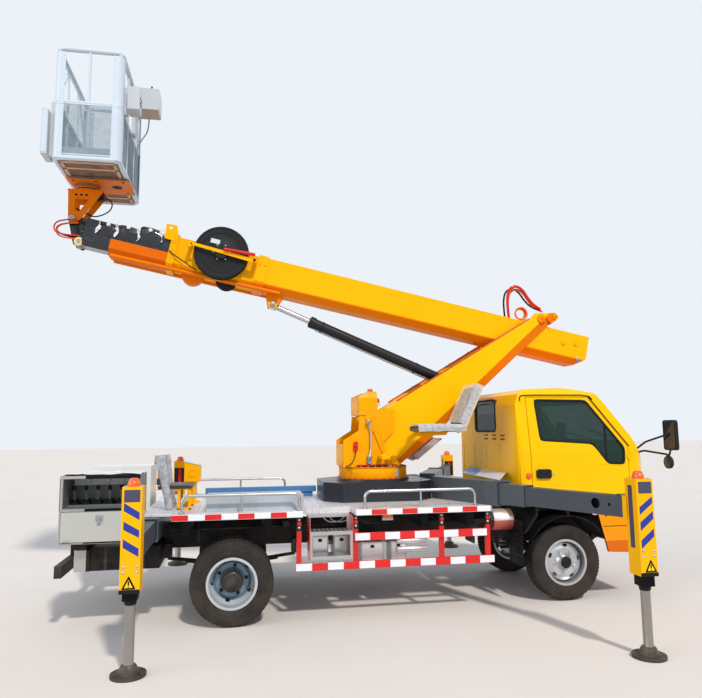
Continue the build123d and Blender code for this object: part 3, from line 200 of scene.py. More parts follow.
def surface(name, color, rough=0.4, metal=0.0, coat=0.0, vary=0.07, scale=2.5, bump=(), dust=0.0,
            dust_top=0.9, layers=(), streak=0.0, alpha=1.0, sheen=0.0, ior=1.45, spec=0.3):
    """A material with mottling, dust low down, bump and masked layers of other colours."""
    s = Shade(name)
    low = tuple(c * (1 - vary) for c in color)
    high = tuple(min(1.0, c * (1 + vary)) for c in color)
    base = s.mix(s.span(s.noise(scale, 6), 0.3, 0.7), low, high)
    roughness = s.span(s.noise(scale * 3, 5, offset=3.1), 0.3, 0.7, max(0.02, rough * 0.8),
        min(1, rough * 1.25))
    metallic = metal
    for tests, other, other_rough, other_metal in layers:
        on = s.mask(tests)
        base = s.mix(on, base, other)
        if other_rough is not None:
            roughness = s.maths("ADD", s.maths("MULTIPLY", roughness, s.maths("SUBTRACT", 1.0, on)),
                s.maths("MULTIPLY", on, other_rough))
        if other_metal is not None and other_metal != metal:
            metallic = s.span(on, 0, 1, metal, other_metal)
    if streak:
        lines = s.span(s.noise(9, 5, stretch=(3.0, 3.0, 0.25), offset=5.7), 0.48, 0.72)
        base = s.mix(s.maths("MULTIPLY", lines, streak), base, tuple(c * 0.55 for c in color))
    if dust:
        height = s.vec("DOT_PRODUCT", s.cad, Z)
        amount = s.maths("MULTIPLY", s.span(height, 0.0, dust_top, 1, 0), s.span(s.noise(7, 6), 0.3, 0.75))
        amount = s.maths("MULTIPLY", amount, dust)
        base = s.mix(amount, base, rgb(150, 132, 112))
        roughness = s.maths("ADD", roughness, s.maths("MULTIPLY", amount, 0.4), clamp=True)
    bsdf = s.new("ShaderNodeBsdfPrincipled")
    s.put(bsdf.inputs["Base Color"], base)
    s.put(bsdf.inputs["Roughness"], roughness)
    s.put(bsdf.inputs["Metallic"], metallic)
    bsdf.inputs["IOR"].default_value = ior
    bsdf.inputs["Coat Weight"].default_value = coat
    bsdf.inputs["Coat Roughness"].default_value = 0.08
    bsdf.inputs["Sheen Weight"].default_value = sheen
    bsdf.inputs["Specular IOR Level"].default_value = spec
    bsdf.inputs["Alpha"].default_value = alpha
    if bump:
        node = s.new("ShaderNodeBump")
        node.inputs["Strength"].default_value = 1.0
        node.inputs["Distance"].default_value = 1.0
        s.put(node.inputs["Height"], s.heights(bump))
        s.put(bsdf.inputs["Normal"], node.outputs[0])
    out = s.new("ShaderNodeOutputMaterial")
    s.put(out.inputs["Surface"], bsdf.outputs[0])
    return s.mat


def band(axis, low, high, color, rough, metal=None):
    """A layer of another colour between two distances along an axis."""
    return (("dir", axis, low, high),), color, rough, metal


PEEL = (("noise", 260, 0.00012),)
CAST = (("noise", 90, 0.0009), ("noise", 400, 0.0003))
STEEL_GREY, RED = rgb(78, 84, 90), rgb(214, 20, 18)

yellow = surface("yellow_paint", rgb(255, 178, 0), 0.36, vary=0.03, bump=PEEL, dust=0.15, streak=0.04,
    spec=0.1)
# The orange band along the upper boom's lower edge is painted shade on its downward chamfer.
upper_paint = surface("upper_paint", rgb(255, 184, 2), 0.36, vary=0.03, bump=PEEL, dust=0.1, streak=0.03,
    spec=0.1, layers=(band((0.2113, 0, 0.9774), 3.10, 3.262, rgb(246, 132, 4), 0.38),))
cab_yellow = surface("cab_yellow", rgb(255, 194, 0), 0.3, coat=0.05, vary=0.02, bump=PEEL, dust=0.08,
    spec=0.12)
orange = surface("orange_paint", rgb(232, 120, 4), 0.38, vary=0.05, bump=PEEL, streak=0.12, spec=0.1)
# Faces turned to the rear are near black: painted shade in the wheel arch. Below 0.585 m the orange is
# darker.
bumper_paint = surface("bumper_paint", rgb(242, 148, 4), 0.34, vary=0.03, bump=PEEL, dust=0.2, spec=0.12,
                       layers=(band(Z, 0.0, 0.585, rgb(214, 104, 8), 0.4),
                               ((("facing", (-1, 0, 0), 0.6),), rgb(20, 20, 22), 0.7, None)))
black = surface("black_paint", rgb(26, 27, 30), 0.42, coat=0.1, vary=0.15, bump=PEEL, dust=0.45)
frame_black = surface("frame_black", rgb(20, 20, 22), 0.55, vary=0.2, bump=PEEL, dust=0.55)
beam_grey = surface("beam_grey", STEEL_GREY, 0.38, coat=0.15, vary=0.08, bump=PEEL, streak=0.1)
iron = surface("cast_iron", rgb(34, 34, 36), 0.7, metal=0.3, vary=0.25, bump=CAST, dust=0.5)
engine_iron = surface("engine_iron", rgb(70, 72, 74), 0.6, metal=0.6, vary=0.3, bump=CAST, dust=0.4)
aluminium = surface("aluminium", rgb(222, 222, 224), 0.32, metal=0.75, vary=0.06, scale=5,
                    bump=(("noise", 300, 0.0001),))
deck_metal = surface("deck_metal", rgb(226, 224, 226), 0.4, metal=0.35, vary=0.07, scale=4, dust=0.0,
                     bump=(("ridge", X, 0.066, 0.004), ("noise", 200, 0.0002)),
                     layers=(band(Z, 0.0, 0.928, rgb(30, 30, 32), 0.7, 0.0),))
DRUM_AREA, TANK_AREA = ("dir", X, 2.56, 2.83), ("dir", X, -1.26, -0.60)
# Over the tank area the sheet is near black: the tank's dark colour together with painted shade under the
# body.
silver = surface("silver_sheet", rgb(186, 184, 180), 0.36, metal=0.7, vary=0.1, scale=6, dust=0.3,
                 layers=(((DRUM_AREA, ("dir", Z, 0.792, 1.0)), rgb(236, 232, 230), 0.4, None),
                         ((DRUM_AREA, ("dir", Z, 0.6, 0.792)), rgb(214, 112, 104), 0.5, None),
                         ((TANK_AREA,), rgb(24, 24, 26), 0.45, None)),
                 bump=(("noise", 40, 0.0012), ("noise", 300, 0.0001)))
steel = surface("bright_steel", rgb(190, 190, 192), 0.24, metal=1.0, vary=0.08,
    bump=(("noise", 300, 0.00005),))
chrome = surface("chrome", rgb(206, 208, 212), 0.18, metal=1.0, vary=0.05)
galvanised = surface("galvanised", rgb(160, 164, 168), 0.45, metal=0.85, vary=0.18, scale=18)
tyre_rubber = surface("tyre_rubber", rgb(42, 38, 36), 0.85, vary=0.18, scale=9, dust=0.16, dust_top=1.1,
                      bump=(("noise", 500, 0.0002),))
rubber = surface("rubber", rgb(16, 16, 18), 0.6, vary=0.1, bump=(("noise", 400, 0.0001),))
lead_grey = surface("lead_grey", rgb(120, 146, 170), 0.45, vary=0.05, bump=(("noise", 400, 0.0002),))
plastic = surface("black_plastic", rgb(24, 25, 28), 0.5, vary=0.08, bump=(("noise", 600, 0.00015),))
dash_plastic = surface("dash_plastic", rgb(58, 58, 62), 0.6, vary=0.08, bump=(("noise", 500, 0.0003),))
red = surface("red_paint", RED, 0.35, coat=0.3, vary=0.05, bump=PEEL, dust=0.3)
tape_red = surface("tape_red", rgb(222, 16, 14), 0.25, coat=0.6, vary=0.04,
                   bump=(("ridge", (1, 0, 1), 0.006, 0.0003), ("ridge", (1, 0, -1), 0.006, 0.0003)))
tape_white = surface("tape_white", rgb(238, 240, 244), 0.22, coat=0.6, vary=0.03,
                     bump=(("ridge", (1, 0, 1), 0.006, 0.0003), ("ridge", (1, 0, -1), 0.006, 0.0003)))
blue = surface("blue_stripe", rgb(34, 52, 150), 0.3, coat=0.3, vary=0.05, bump=PEEL)
blue_panel = surface("blue_panel", rgb(96, 158, 208), 0.3, coat=0.4, vary=0.1, scale=9, bump=PEEL)
white = surface("white_paint", rgb(206, 218, 228), 0.36, coat=0.1, vary=0.03, bump=PEEL)
grey_white = surface("grey_white", rgb(196, 200, 204), 0.4, coat=0.1, vary=0.05, bump=PEEL)
lamp_red = surface("lamp_red", rgb(196, 12, 12), 0.12, coat=0.8, vary=0.1,
    bump=(("ridge", Y, 0.008, 0.0006),))
lamp_orange = surface("lamp_orange", rgb(240, 96, 12), 0.14, coat=0.8, vary=0.1,
                      bump=(("ridge", X, 0.008, 0.0006),))
lamp_white = surface("lamp_white", rgb(236, 238, 240), 0.1, coat=0.8, vary=0.03)
# The glass's dark green stands in for trees mirrored in it: painted reflection.
glass = surface("glass", rgb(34, 62, 56), 0.04, vary=0.03, alpha=0.6, ior=1.5, spec=0.25)
mirror_glass = surface("mirror_glass", rgb(44, 46, 64), 0.05, vary=0.02, spec=0.6)
film = surface("clear_film", rgb(244, 244, 250), 0.24, vary=0.3, scale=30, alpha=0.38, coat=0.4,
               bump=(("noise", 26, 0.012, 6), ("noise", 90, 0.003)))
white_film = surface("white_film", rgb(226, 226, 224), 0.24, coat=0.7, vary=0.08, scale=8,
                     bump=(("noise", 14, 0.02, 6), ("noise", 60, 0.004)))
black_film = surface("black_film", rgb(18, 24, 32), 0.22, coat=0.8, vary=0.3, scale=14,
                     bump=(("noise", 18, 0.014, 6), ("noise", 70, 0.003)))
vinyl = surface("vinyl", rgb(58, 60, 66), 0.42, vary=0.14, scale=12, bump=(("noise", 500, 0.0003),),
    sheen=0.1)
fabric = surface("seat_fabric", rgb(70, 72, 80), 0.9, vary=0.2, scale=60, sheen=0.3,
                 bump=(("ridge", Y, 0.006, 0.0005), ("ridge", (1, 0, 1), 0.006, 0.0005)))
mesh_grey = surface("mesh_grey", rgb(150, 168, 178), 0.45, metal=0.15, vary=0.15, scale=20)
under_floor = surface("under_floor", rgb(128, 104, 90), 0.7, vary=0.3, scale=9, bump=CAST)
hose_black = surface("hose_black", rgb(22, 20, 22), 0.45, vary=0.1)
hose_red = surface("hose_red", rgb(206, 30, 18), 0.35, coat=0.2, vary=0.1)
hose_orange = surface("hose_orange", rgb(238, 104, 20), 0.35, coat=0.2, vary=0.1)
label_dark = surface("label_dark", rgb(74, 72, 92), 0.4, vary=0.1)
reflect_yellow = surface("mark_yellow", rgb(246, 206, 30), 0.3, vary=0.05)
jack_paint = surface("jack_metal", rgb(156, 152, 146), 0.3, metal=0.85, vary=0.08, layers=(
    band(Z, 0.519, 1.0, rgb(24, 25, 28), 0.45, 0.0),
    band(Z, -0.01, 0.0799, rgb(58, 54, 52), 0.6, 0.3)), dust=0.3, dust_top=0.3)
rim_satin = surface("rim_satin", rgb(196, 198, 202), 0.3, metal=0.8, vary=0.08, dust=0.25)


# The slot of each material
SLOTS = {"chrome": (chrome, steel, galvanised, mirror_glass), "plastic": (plastic, label_dark),
    "rubber": (rubber, hose_black), "cast_iron": (iron,), "aluminium": (aluminium, mesh_grey, silver),
    "black_paint": (black,), "red_paint": (red, tape_red, tape_white, lamp_red),
    "orange_paint": (orange, lamp_orange, hose_orange), "white_paint": (white, grey_white, white_film,
    lamp_white), "yellow_paint": (yellow, cab_yellow, upper_paint, reflect_yellow)}
SLOT_OF = {mat.name: slot for slot, mats in SLOTS.items() for mat in mats}
BEVEL_ANGLE = 38


def wear(*names, mat):
    """Give CAD nodes one material."""
    for name in names:
        NODES[name].data.materials.clear()
        NODES[name].data.materials.append(mat)


def soften(names, width=0.003):
    """Rounded edges on CAD nodes, which leaves their own mesh as it is."""
    for name in names:
        weld = NODES[name].modifiers.new("weld", "WELD")
        weld.merge_threshold = 0.00005
        bevel = NODES[name].modifiers.new("bevel", "BEVEL")
        bevel.width = width
        bevel.segments = 2
        bevel.limit_method = "ANGLE"
        bevel.angle_limit = radians(BEVEL_ANGLE)
        bevel.use_clamp_overlap = True
        bevel.harden_normals = True


# Mesh building
def frame_of(axis):
    """Two directions square to an axis."""
    axis = Vector(axis).normalized()
    other = Vector(Z) if abs(axis.z) < 0.9 else Vector(X)
    u = axis.cross(other).normalized()
    return axis, u, axis.cross(u)


def rounded(points, radius, steps=4):
    """A polygon with round corners."""
    out = []
    n = len(points)
    for i in range(n):
        p = Vector(points[i])
        a, b = Vector(points[i - 1]) - p, Vector(points[(i + 1) % n]) - p
        r = min(radius, a.length * 0.49, b.length * 0.49)
        start, end = p + a.normalized() * r, p + b.normalized() * r
        for k in range(steps + 1):
            t = k / steps
            out.append(tuple((start * (1 - t) ** 2) + (p * 2 * t * (1 - t)) + (end * t * t)))
    return out


def rectangle(u, v, radius=0.0, steps=3):
    corners = [(u[0], v[0]), (u[1], v[0]), (u[1], v[1]), (u[0], v[1])]
    return rounded(corners, radius, steps) if radius else corners


def grown(loop, d):
    """The loop moved outwards by d. The loop runs counter-clockwise or clockwise."""
    n = len(loop)
    area = sum(loop[i - 1][0] * loop[i][1] - loop[i][0] * loop[i - 1][1] for i in range(n))
    sign = 1 if area > 0 else -1
    out = []
    for i in range(n):
        p = Vector(loop[i])
        a = (p - Vector(loop[i - 1]))
        b = (Vector(loop[(i + 1) % n]) - p)
        if a.length < 1e-7 or b.length < 1e-7:
            a = b = (Vector(loop[(i + 1) % n]) - Vector(loop[i - 1]))
        a, b = a.normalized(), b.normalized()
        na, nb = Vector((a.y, -a.x)) * sign, Vector((b.y, -b.x)) * sign
        m = na + nb
        m = m / max(0.35, m.dot(na)) if m.length > 1e-6 else na
        out.append(tuple(p + m * d))
    return out


class Build:
    """One mesh piece made of many simple shapes, riding on a body."""

    def __init__(self, name, body, mat, sharp=35, slot=None):
        self.name, self.body, self.mat, self.sharp = name, body, mat, sharp
        self.slot = slot or SLOT_OF[mat.name]
        self.verts, self.faces = [], []

    def put(self, verts, faces):
        base = len(self.verts)
        self.verts += [tuple(v) for v in verts]
        self.faces += [tuple(i + base for i in f) for f in faces]

    def skin(self, rings, caps=True, closed_line=False):
        """Quads between rings of equal length."""
        n = len(rings[0])
        verts = [v for ring in rings for v in ring]
        faces = []
        count = len(rings)
        for k in range(count if closed_line else count - 1):
            for i in range(n):
                a, b = k * n + i, k * n + (i + 1) % n
                c, d = ((k + 1) % count) * n + (i + 1) % n, ((k + 1) % count) * n + i
                faces.append((a, b, c, d))
        if caps and not closed_line:
            faces.append(tuple(reversed(range(n))))
            faces.append(tuple(range((count - 1) * n, count * n)))
        self.put(verts, faces)
        return self

    def slab(self, loop, place, t0, t1, chamfer=0.0, both=False):
        """A flat shape from a 2D loop, with place(u, v, t) giving each point."""
        step = chamfer if t1 > t0 else -chamfer
        inner = grown(loop, -chamfer) if chamfer else loop
        rows = [(inner, t0), (loop, t0 + step)] if both and chamfer else [(loop, t0)]
        rows += [(loop, t1 - step), (inner, t1)] if chamfer else [(loop, t1)]
        return self.skin([[place(u, v, t) for u, v in line] for line, t in rows])

    def plate(self, u, v, radius, place, t0, t1, chamfer=0.0, both=False):
        """A flat shape from a rectangle with round corners."""
        return self.slab(rectangle(u, v, radius), place, t0, t1, chamfer, both)

    def box(self, x, y, z, chamfer=0.003):
        """A block in metres from the rear axle, edges broken."""
        c = min(chamfer, (x[1] - x[0]) / 3, (y[1] - y[0]) / 3, (z[1] - z[0]) / 3)
        loop = rounded([(x[0], y[0]), (x[1], y[0]), (x[1], y[1]), (x[0], y[1])], c, 1)
        return self.slab(loop, on_z(0), z[0], z[1], c, both=True)

    def ring_frame(self, loop, place, out, into, height):
        """A raised rim along a loop."""
        a, b = grown(loop, out), grown(loop, -into)
        rows = ((a, 0), (grown(a, -height * 0.25), height * 0.7), (grown(a, -height * 0.7), height),
                (grown(b, height * 0.7), height), (b, 0))
        return self.skin([[place(u, v, t) for u, v in line] for line, t in rows], caps=False)

    def lathe(self, profile, at, axis, seg=32):
        """Turned shape from (radius, distance along the axis) points."""
        axis, u, v = frame_of(axis)
        turns = [tau * i / seg for i in range(seg)]
        rings = []
        for r, t in profile:
            middle = Vector(at) + axis * t
            rings.append([middle + u * (r * cos(a)) + v * (r * sin(a)) for a in turns])
        return self.skin(rings)

    def bolt(self, at, axis, radius=0.009, height=0.007):
        """A six-sided bolt head on a washer."""
        self.lathe([(radius * 1.5, 0), (radius * 1.5, height * 0.22), (radius * 1.3, height * 0.3)], at,
            axis, 14)
        return self.lathe([(radius, height * 0.25), (radius, height * 0.85), (radius * 0.8, height)], at,
            axis, 6)

    def bolts(self, points, axis, radius=0.009, height=0.007):
        for p in points:
            self.bolt(p, axis, radius, height)
        return self

    def tube(self, points, radius, seg=10, smooth=0):
        """A round bar along points, which may be smoothed first."""
        turns = [tau * k / seg for k in range(seg)]
        pts = [Vector(p) for p in points]
        for _ in range(smooth):
            new = [pts[0]]
            for a, b in zip(pts, pts[1:]):
                new += [a * 0.75 + b * 0.25, a * 0.25 + b * 0.75]
            pts = new + [pts[-1]]
        rings = []
        ref = None
        for i, p in enumerate(pts):
            d = (pts[min(i + 1, len(pts) - 1)] - pts[max(i - 1, 0)]).normalized()
            if ref is None:
                _, ref, _ = frame_of(d)
            ref = (ref - d * ref.dot(d)).normalized()
            w = d.cross(ref)
            rings.append([p + ref * (radius * cos(a)) + w * (radius * sin(a)) for a in turns])
        return self.skin(rings)

    def torus(self, at, radii, wire, count, seg=8, across=X, other=Y):
        """An upright ring of round wire, with its half width and half height as radii."""
        a, b, rise = Vector(across), Vector(other), Vector(Z)
        rows = []
        for i in range(count):
            t = tau * i / count
            out = a * cos(t) + rise * sin(t)
            c = at + a * (radii[0] * cos(t)) + rise * (radii[1] * sin(t))
            rows.append([c + out * (wire * cos(m)) + b * (wire * sin(m))
                for m in (tau * j / seg for j in range(seg))])
        return self.skin(rows, closed_line=True)

    def done(self):
        mesh = bpy.data.meshes.new(self.name)
        mesh.from_pydata(self.verts, [], self.faces)
        work = bmesh.new()
        work.from_mesh(mesh)
        bmesh.ops.remove_doubles(work, verts=work.verts, dist=1e-6)
        bmesh.ops.recalc_face_normals(work, faces=work.faces)
        work.to_mesh(mesh)
        work.free()
        mesh.shade_smooth()
        mesh.set_sharp_from_angle(angle=radians(self.sharp))
        mesh.materials.append(self.mat)
        obj = bpy.data.objects.new(self.name, mesh)
        link(obj)
        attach(obj, self.body)
        return obj


def finish(*builds):
    for build in builds:
        build.done()


def around(at, radius, count, start=0.0, flat=False):
    """Points on a circle, which stands square to Y or lies flat. Angles are in degrees."""
    out = []
    for i in range(count):
        a = radians(start) + tau * i / count
        side = radius * sin(a)
        out.append(at + Vector((radius * cos(a), side if flat else 0, 0 if flat else side)))
    return out


def side_at(s, y):
    """Placing for shapes drawn as (X, Z) on a side face at |Y| = y."""
    return lambda u, v, t: P(u, s * (y + t), v)


def on_x(x, way=1, s=1):
    """Placing for shapes drawn as (Y, Z) on an upright face at X = x that faces one way along X."""
    return lambda u, v, t: P(x + way * t, s * u, v)


def on_z(z, way=1):
    """Placing for shapes drawn as (X, Y) on a flat face at Z = z."""
    return lambda u, v, t: P(u, v, z + way * t)


def boom_top(h):
    return lambda u, v, t: B(u, v, h + t)


def boom_side(s, y):
    return lambda u, v, t: B(u, s * (y + t), v)


def cab_side_y(z):
    """Half width of the cab at a height."""
    return 0.85 if z < 1.48 else 0.85 - (z - 1.48) * 0.0885


def cab_side(s, lift=0.0):
    return lambda u, v, t: P(u, s * (cab_side_y(v) + t + lift), v)


# Base materials of the CAD nodes
wear("frame_rails", mat=frame_black)
wear("axles", mat=iron)
wear("engine_block", mat=engine_iron)
wear("deck", mat=deck_metal)
wear("deck_rails", mat=steel)
wear("side_boxes", mat=silver)
wear("outrigger_sleeves", mat=beam_grey)
wear("deck_boxes", mat=surface("deck_box_paint", rgb(172, 180, 186), 0.4, vary=0.12, scale=5, bump=PEEL,
    dust=0.2, layers=(band(Y, 0.2, 0.4, rgb(70, 118, 164), 0.4),)))
wear("cab_shell", "door_right", "door_left", mat=cab_yellow)
wear("cab_glass", "door_glass_right", "door_glass_left", mat=glass)
wear("cab_dash", mat=dash_plastic)
wear("wheel_liners", mat=rubber)
wear("mirrors", mat=plastic)
wear("front_bumper", mat=bumper_paint)
wear("upper_boom", mat=upper_paint)
# The turntable's paint is a darker, more orange copy of the yellow: painted shade.
wear("turntable", mat=surface("mast_paint_shaded", rgb(250, 166, 0), 0.38, vary=0.04, bump=PEEL, streak=0.08,
    spec=0.1))
# The orange band along the lower boom's bottom edge is painted shade on its downward bevel.
wear("lower_boom", mat=surface("lower_paint", rgb(255, 192, 0), 0.38, vary=0.03, bump=PEEL, streak=0.05,
    spec=0.1, layers=(((("dir", (0.6647, 0, -0.7471), 0.095, 0.4),), rgb(232, 120, 4), 0.4, None),)))
wear("operator_seat", mat=vinyl)
wear("luff_barrel", "upper_barrel", mat=black)
wear("luff_rod", "upper_rod", mat=chrome)
wear("fly_boom", mat=black_film)
wear("tip_bracket", mat=orange)
wear("basket_frame", mat=white)
wear("basket_panels", mat=mesh_grey)
wear("basket_floor", mat=under_floor)
wear("basket_console", mat=grey_white)
wear("hose_reel", mat=plastic)
for _, word in SIDES:
    wear("knuckle_" + word, mat=iron)
    wear("rim_front_" + word, mat=rim_satin)
    wear("stage_front_" + word, mat=beam_grey)
    wear("jack_front_" + word, "jack_rear_" + word, mat=jack_paint)

wear("pedestal", mat=surface("pedestal_paint", rgb(36, 38, 44), 0.35, coat=0.2, vary=0.12, bump=PEEL,
    dust=0.1))
NECK_START = -BOOM_FOOT[0] * cos(BOOM_ANGLE) + BOOM_FOOT[1] * sin(BOOM_ANGLE) + 2.872
# The orange span along the neck is painted shade over the same yellow paint.
wear("boom_neck", mat=surface("neck_paint", rgb(252, 172, 0), 0.36, vary=0.04, bump=PEEL, streak=0.06,
    spec=0.1, layers=(((("dir", tuple(BOOM_U), NECK_START, NECK_START + 0.728),), rgb(224, 104, 4), 0.4,
    None),)))
wear("side_guards", mat=surface("guard_paint", RED, 0.36, coat=0.3, vary=0.06, bump=PEEL, dust=0.25,
    layers=(band(Z, 0.80, 1.2, rgb(26, 36, 32), 0.4), ((("dir", X, 0.688, 1.088), ("dir", Z, 0.5, 0.94)),
    rgb(188, 188, 186), 0.35, 0.8))))
wear("rear_boxes", mat=surface("rear_box_paint", rgb(116, 120, 118), 0.42, coat=0.15, vary=0.1, bump=PEEL,
    dust=0.3, layers=(band(Y, 0.3, 1.0, rgb(226, 226, 224), 0.25),
    ((("dir", Z, 0.76, 1.04), ("dir", (0, -1, 0), 0.9, 1.0)), rgb(184, 184, 178), 0.4, None))))
wear("rear_seat", mat=surface("rear_seat_paint", rgb(250, 178, 8), 0.34, coat=0.3, vary=0.05, bump=PEEL,
    layers=(band(X, -0.80, -0.515, rgb(150, 152, 156), 0.35),)))
for s, word in SIDES:
    for end in ("front", "rear"):
        wear("beam_%s_%s" % (end, word), mat=surface("beam_%s_%s_paint" % (end, word), rgb(252, 184, 6),
            0.36, vary=0.04, bump=PEEL, dust=0.2, spec=0.12, layers=(band((0, s, 0), 0.0,
            2.245 if end == "front" else 1.852, STEEL_GREY, 0.38),
            band(Z, 1.3205, 1.4, rgb(232, 86, 22), 0.2))))
    wear("rims_rear_" + word, mat=surface(
        "rear_rim_paint_" + word, rgb(196, 202, 206), 0.3, metal=0.35, vary=0.06, dust=0.25, coat=0.2,
        layers=(((("ring", (0, 0, TYRE_R), (1, 0, 1), 0.0, 0.172),), rgb(112, 140, 158), 0.32, None),
                ((("ring", (0, 0, TYRE_R), (1, 0, 1), 0.0, 0.098),), rgb(20, 20, 22), 0.5, 0.0))))

soften(["cab_shell", "door_right", "door_left"], 0.004)
soften(["turntable", "lower_boom", "upper_boom", "boom_neck", "pedestal", "front_bumper", "tip_bracket"],
    0.003)
soften(["outrigger_sleeves", "rear_boxes", "side_boxes", "deck_boxes", "side_guards", "rear_seat", "deck",
        "frame_rails", "mirrors", "basket_console"], 0.003)
for _, word in SIDES:
    soften(["beam_front_" + word, "beam_rear_" + word, "stage_front_" + word, "jack_front_" + word,
            "jack_rear_" + word], 0.003)


# Tyres
def tyre(name, node, body, x, y0, y1, lugs, s):
    """Tyre with a moulded side wall and a cut tread."""
    half, mid = (y1 - y0) / 2, (y0 + y1) / 2
    wall = [(0.2135, half - 0.0205), (0.2290, half - 0.0195), (0.2345, half - 0.0140),
        (0.2420, half - 0.0085), (0.2520, half - 0.0050), (0.2620, half - 0.0022), (0.2640, half - 0.0008),
        (0.2670, half - 0.0008), (0.2690, half - 0.0020), (0.2900, half - 0.0012), (0.2920, half - 0.0002),
        (0.3010, half - 0.0002), (0.3030, half - 0.0014), (0.3220, half - 0.0020), (0.3400, half - 0.0042),
        (0.3520, half - 0.0075), (0.3600, half - 0.0115), (0.3650, half - 0.0180), (0.3675, half - 0.0240)]
    crown = [(0.3690, 0.064, 1), (0.3695, 0.0545, 1), (0.3620, 0.0520, 0), (0.3620, 0.0460, 0),
        (0.3700, 0.0435, 1), (0.3705, 0.0230, 1), (0.3620, 0.0205, 0), (0.3620, 0.0145, 0),
        (0.3708, 0.0120, 1), (0.3709, 0.0, 1)]
    right = [(r, y, 2 if i > 13 else 0) for i, (r, y) in enumerate(wall)] + [(r, y, k) for r, y, k in crown]
    profile = right + [(r, -y, k) for r, y, k in reversed(right[:-1])]
    count = lugs * 4
    verts, faces = [], []
    for i in range(count):
        angle = tau * i / count
        for r, y, kind in profile:
            step = (i + (2 if abs(y) > 0.03 else 0)) % 4
            if kind == 1 and step == 0 and abs(y) > 0.002:
                r -= 0.007
            elif kind == 2 and step == 0 and r > 0.355:
                r -= 0.006
            verts.append(P(x + r * cos(angle), s * (mid + y), TYRE_R + r * sin(angle)))
    n = len(profile)
    for i in range(count):
        for k in range(n - 1):
            a, b = i * n + k, ((i + 1) % count) * n + k
            faces.append((a, b, b + 1, a + 1))
        faces.append((i * n + n - 1, ((i + 1) % count) * n + n - 1, ((i + 1) % count) * n, i * n))
    build = Build(name, body, tyre_rubber, 28, "tyre")
    build.put(verts, faces)
    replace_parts(build.done(), node)


for s, word in SIDES:
    tyre("tread_front_" + word, "tyre_front_" + word, "wheel_front_" + word, WHEELBASE, 0.570, 0.760, 64, s)
    tyre("tread_inner_" + word, "tyres_rear_" + word, "wheels_rear_" + word, 0.0, 0.568, 0.758, 56, s)
    tyre("tread_outer_" + word, "tyres_rear_" + word, "wheels_rear_" + word, 0.0, 0.780, 0.970, 56, s)

# Wheel nuts, hub caps and valves
for s, word in SIDES:
    out = (0, s, 0)
    hub = P(WHEELBASE, 0, TYRE_R)
    nuts = Build("nuts_front_" + word, "wheel_front_" + word, chrome)
    for at in around(hub + Vector((0, s * 0.7065, 0)), 0.106, 5, 120):
        nuts.lathe([(0.0165, 0), (0.0165, 0.004), (0.012, 0.005), (0.012, 0.02), (0.0085, 0.026),
            (0.004, 0.028)], at, out, 6)
    nuts.lathe([(0.010, 0), (0.010, 0.002), (0.004, 0.003), (0.004, 0.03)],
        hub + Vector((-0.19, s * 0.662, 0.02)), (0.3, s, 0), 10).done()
    Build("hub_front_" + word, "wheel_front_" + word, plastic).lathe(
        [(0.058, 0), (0.058, 0.008), (0.052, 0.016), (0.030, 0.020), (0.028, 0.017), (0.0, 0.017)],
        hub + Vector((0, s * 0.741, 0)), out, 32).done()
    hub = P(0, 0, TYRE_R)
    nuts = Build("nuts_rear_" + word, "wheels_rear_" + word, iron)
    for at in around(hub + Vector((0, s * 0.7815, 0)), 0.130, 5, 79):
        nuts.lathe([(0.0175, 0), (0.0175, 0.004), (0.0135, 0.005), (0.0135, 0.022), (0.010, 0.026),
            (0.0065, 0.027), (0.0065, 0.036)], at, out, 6)
    nuts.done()
    cap = Build("hub_rear_" + word, "wheels_rear_" + word, black)
    cap.lathe([(0.080, 0), (0.084, 0.006), (0.084, 0.016), (0.078, 0.020), (0.058, 0.021), (0.054, 0.030),
        (0.0, 0.032)], hub + Vector((0, s * 0.872, 0)), out, 36)
    cap.bolts(around(hub + Vector((0, s * 0.8925, 0)), 0.068, 8, 22.5), out, 0.006, 0.007).done()


# Deck edge and guard tape
def tape(build_red, build_white, s, y, x0, x1, z0, z1, count, first_red):
    step = (x1 - x0) / count
    for i in range(count):
        on_red = (i % 2 == 0) == first_red
        loop = rectangle((x0 + step * i + 0.0006, x0 + step * (i + 1) - 0.0006), (z0, z1), 0.002, 1)
        (build_red if on_red else build_white).slab(loop, side_at(s, y), -0.0002, 0.0016, 0.0005)


for s, word in SIDES:
    reds = Build("tape_red_" + word, "chassis", tape_red)
    whites = Build("tape_white_" + word, "chassis", tape_white)
    tape(reds, whites, s, 1.0, -0.53, 0.624, 0.934, 0.982, 8, True)
    tape(reds, whites, s, 1.0, 1.114, 2.43, 0.934, 0.982, 9, False)
    tape(reds, whites, s, 0.965, 1.108, 2.386, 0.703, 0.767, 9, False)
    tape(reds, whites, s, 0.965, 0.566, 2.454, 0.454, 0.518, 13, False)
    for x in (0.6885, 1.0875):
        loop = rectangle((x - 0.004, x + 0.004), (0.55, 0.92), 0.002, 1)
        reds.slab(loop, side_at(s, 0.786), 0.0, 0.203, 0.001)
    finish(reds, whites)
    lamps = Build("guard_lamps_" + word, "chassis", lamp_red)
    screws = Build("guard_screws_" + word, "chassis", lamp_white)
    for x in (0.596, 1.120, 1.947, 2.406):
        at = P(x, s * 0.943, 0.868)
        lamps.lathe([(0.021, 0), (0.021, 0.008), (0.018, 0.014), (0.0, 0.017)], at, (0, s, 0), 24)
        for dz in (-0.034, 0.034):
            screws.lathe([(0.009, 0), (0.009, 0.004), (0.004, 0.007)], at + Vector((0, 0, dz)), (0, s, 0),
                12)
    finish(lamps, screws)
    Build("marker_lamp_" + word, "chassis", lamp_orange).plate((1.375, 1.475), (0.893, 0.925), 0.008,
        side_at(s, 0.93), 0, 0.02, 0.004).done()
    base = Build("marker_base_" + word, "chassis", grey_white)
    base.plate((1.372, 1.478), (0.872, 0.892), 0.004, side_at(s, 0.93), 0, 0.012, 0.002)
    base.plate((1.38, 1.47), (0.88, 0.93), 0.004, side_at(s, 0.90), 0, 0.031, 0.002).done()

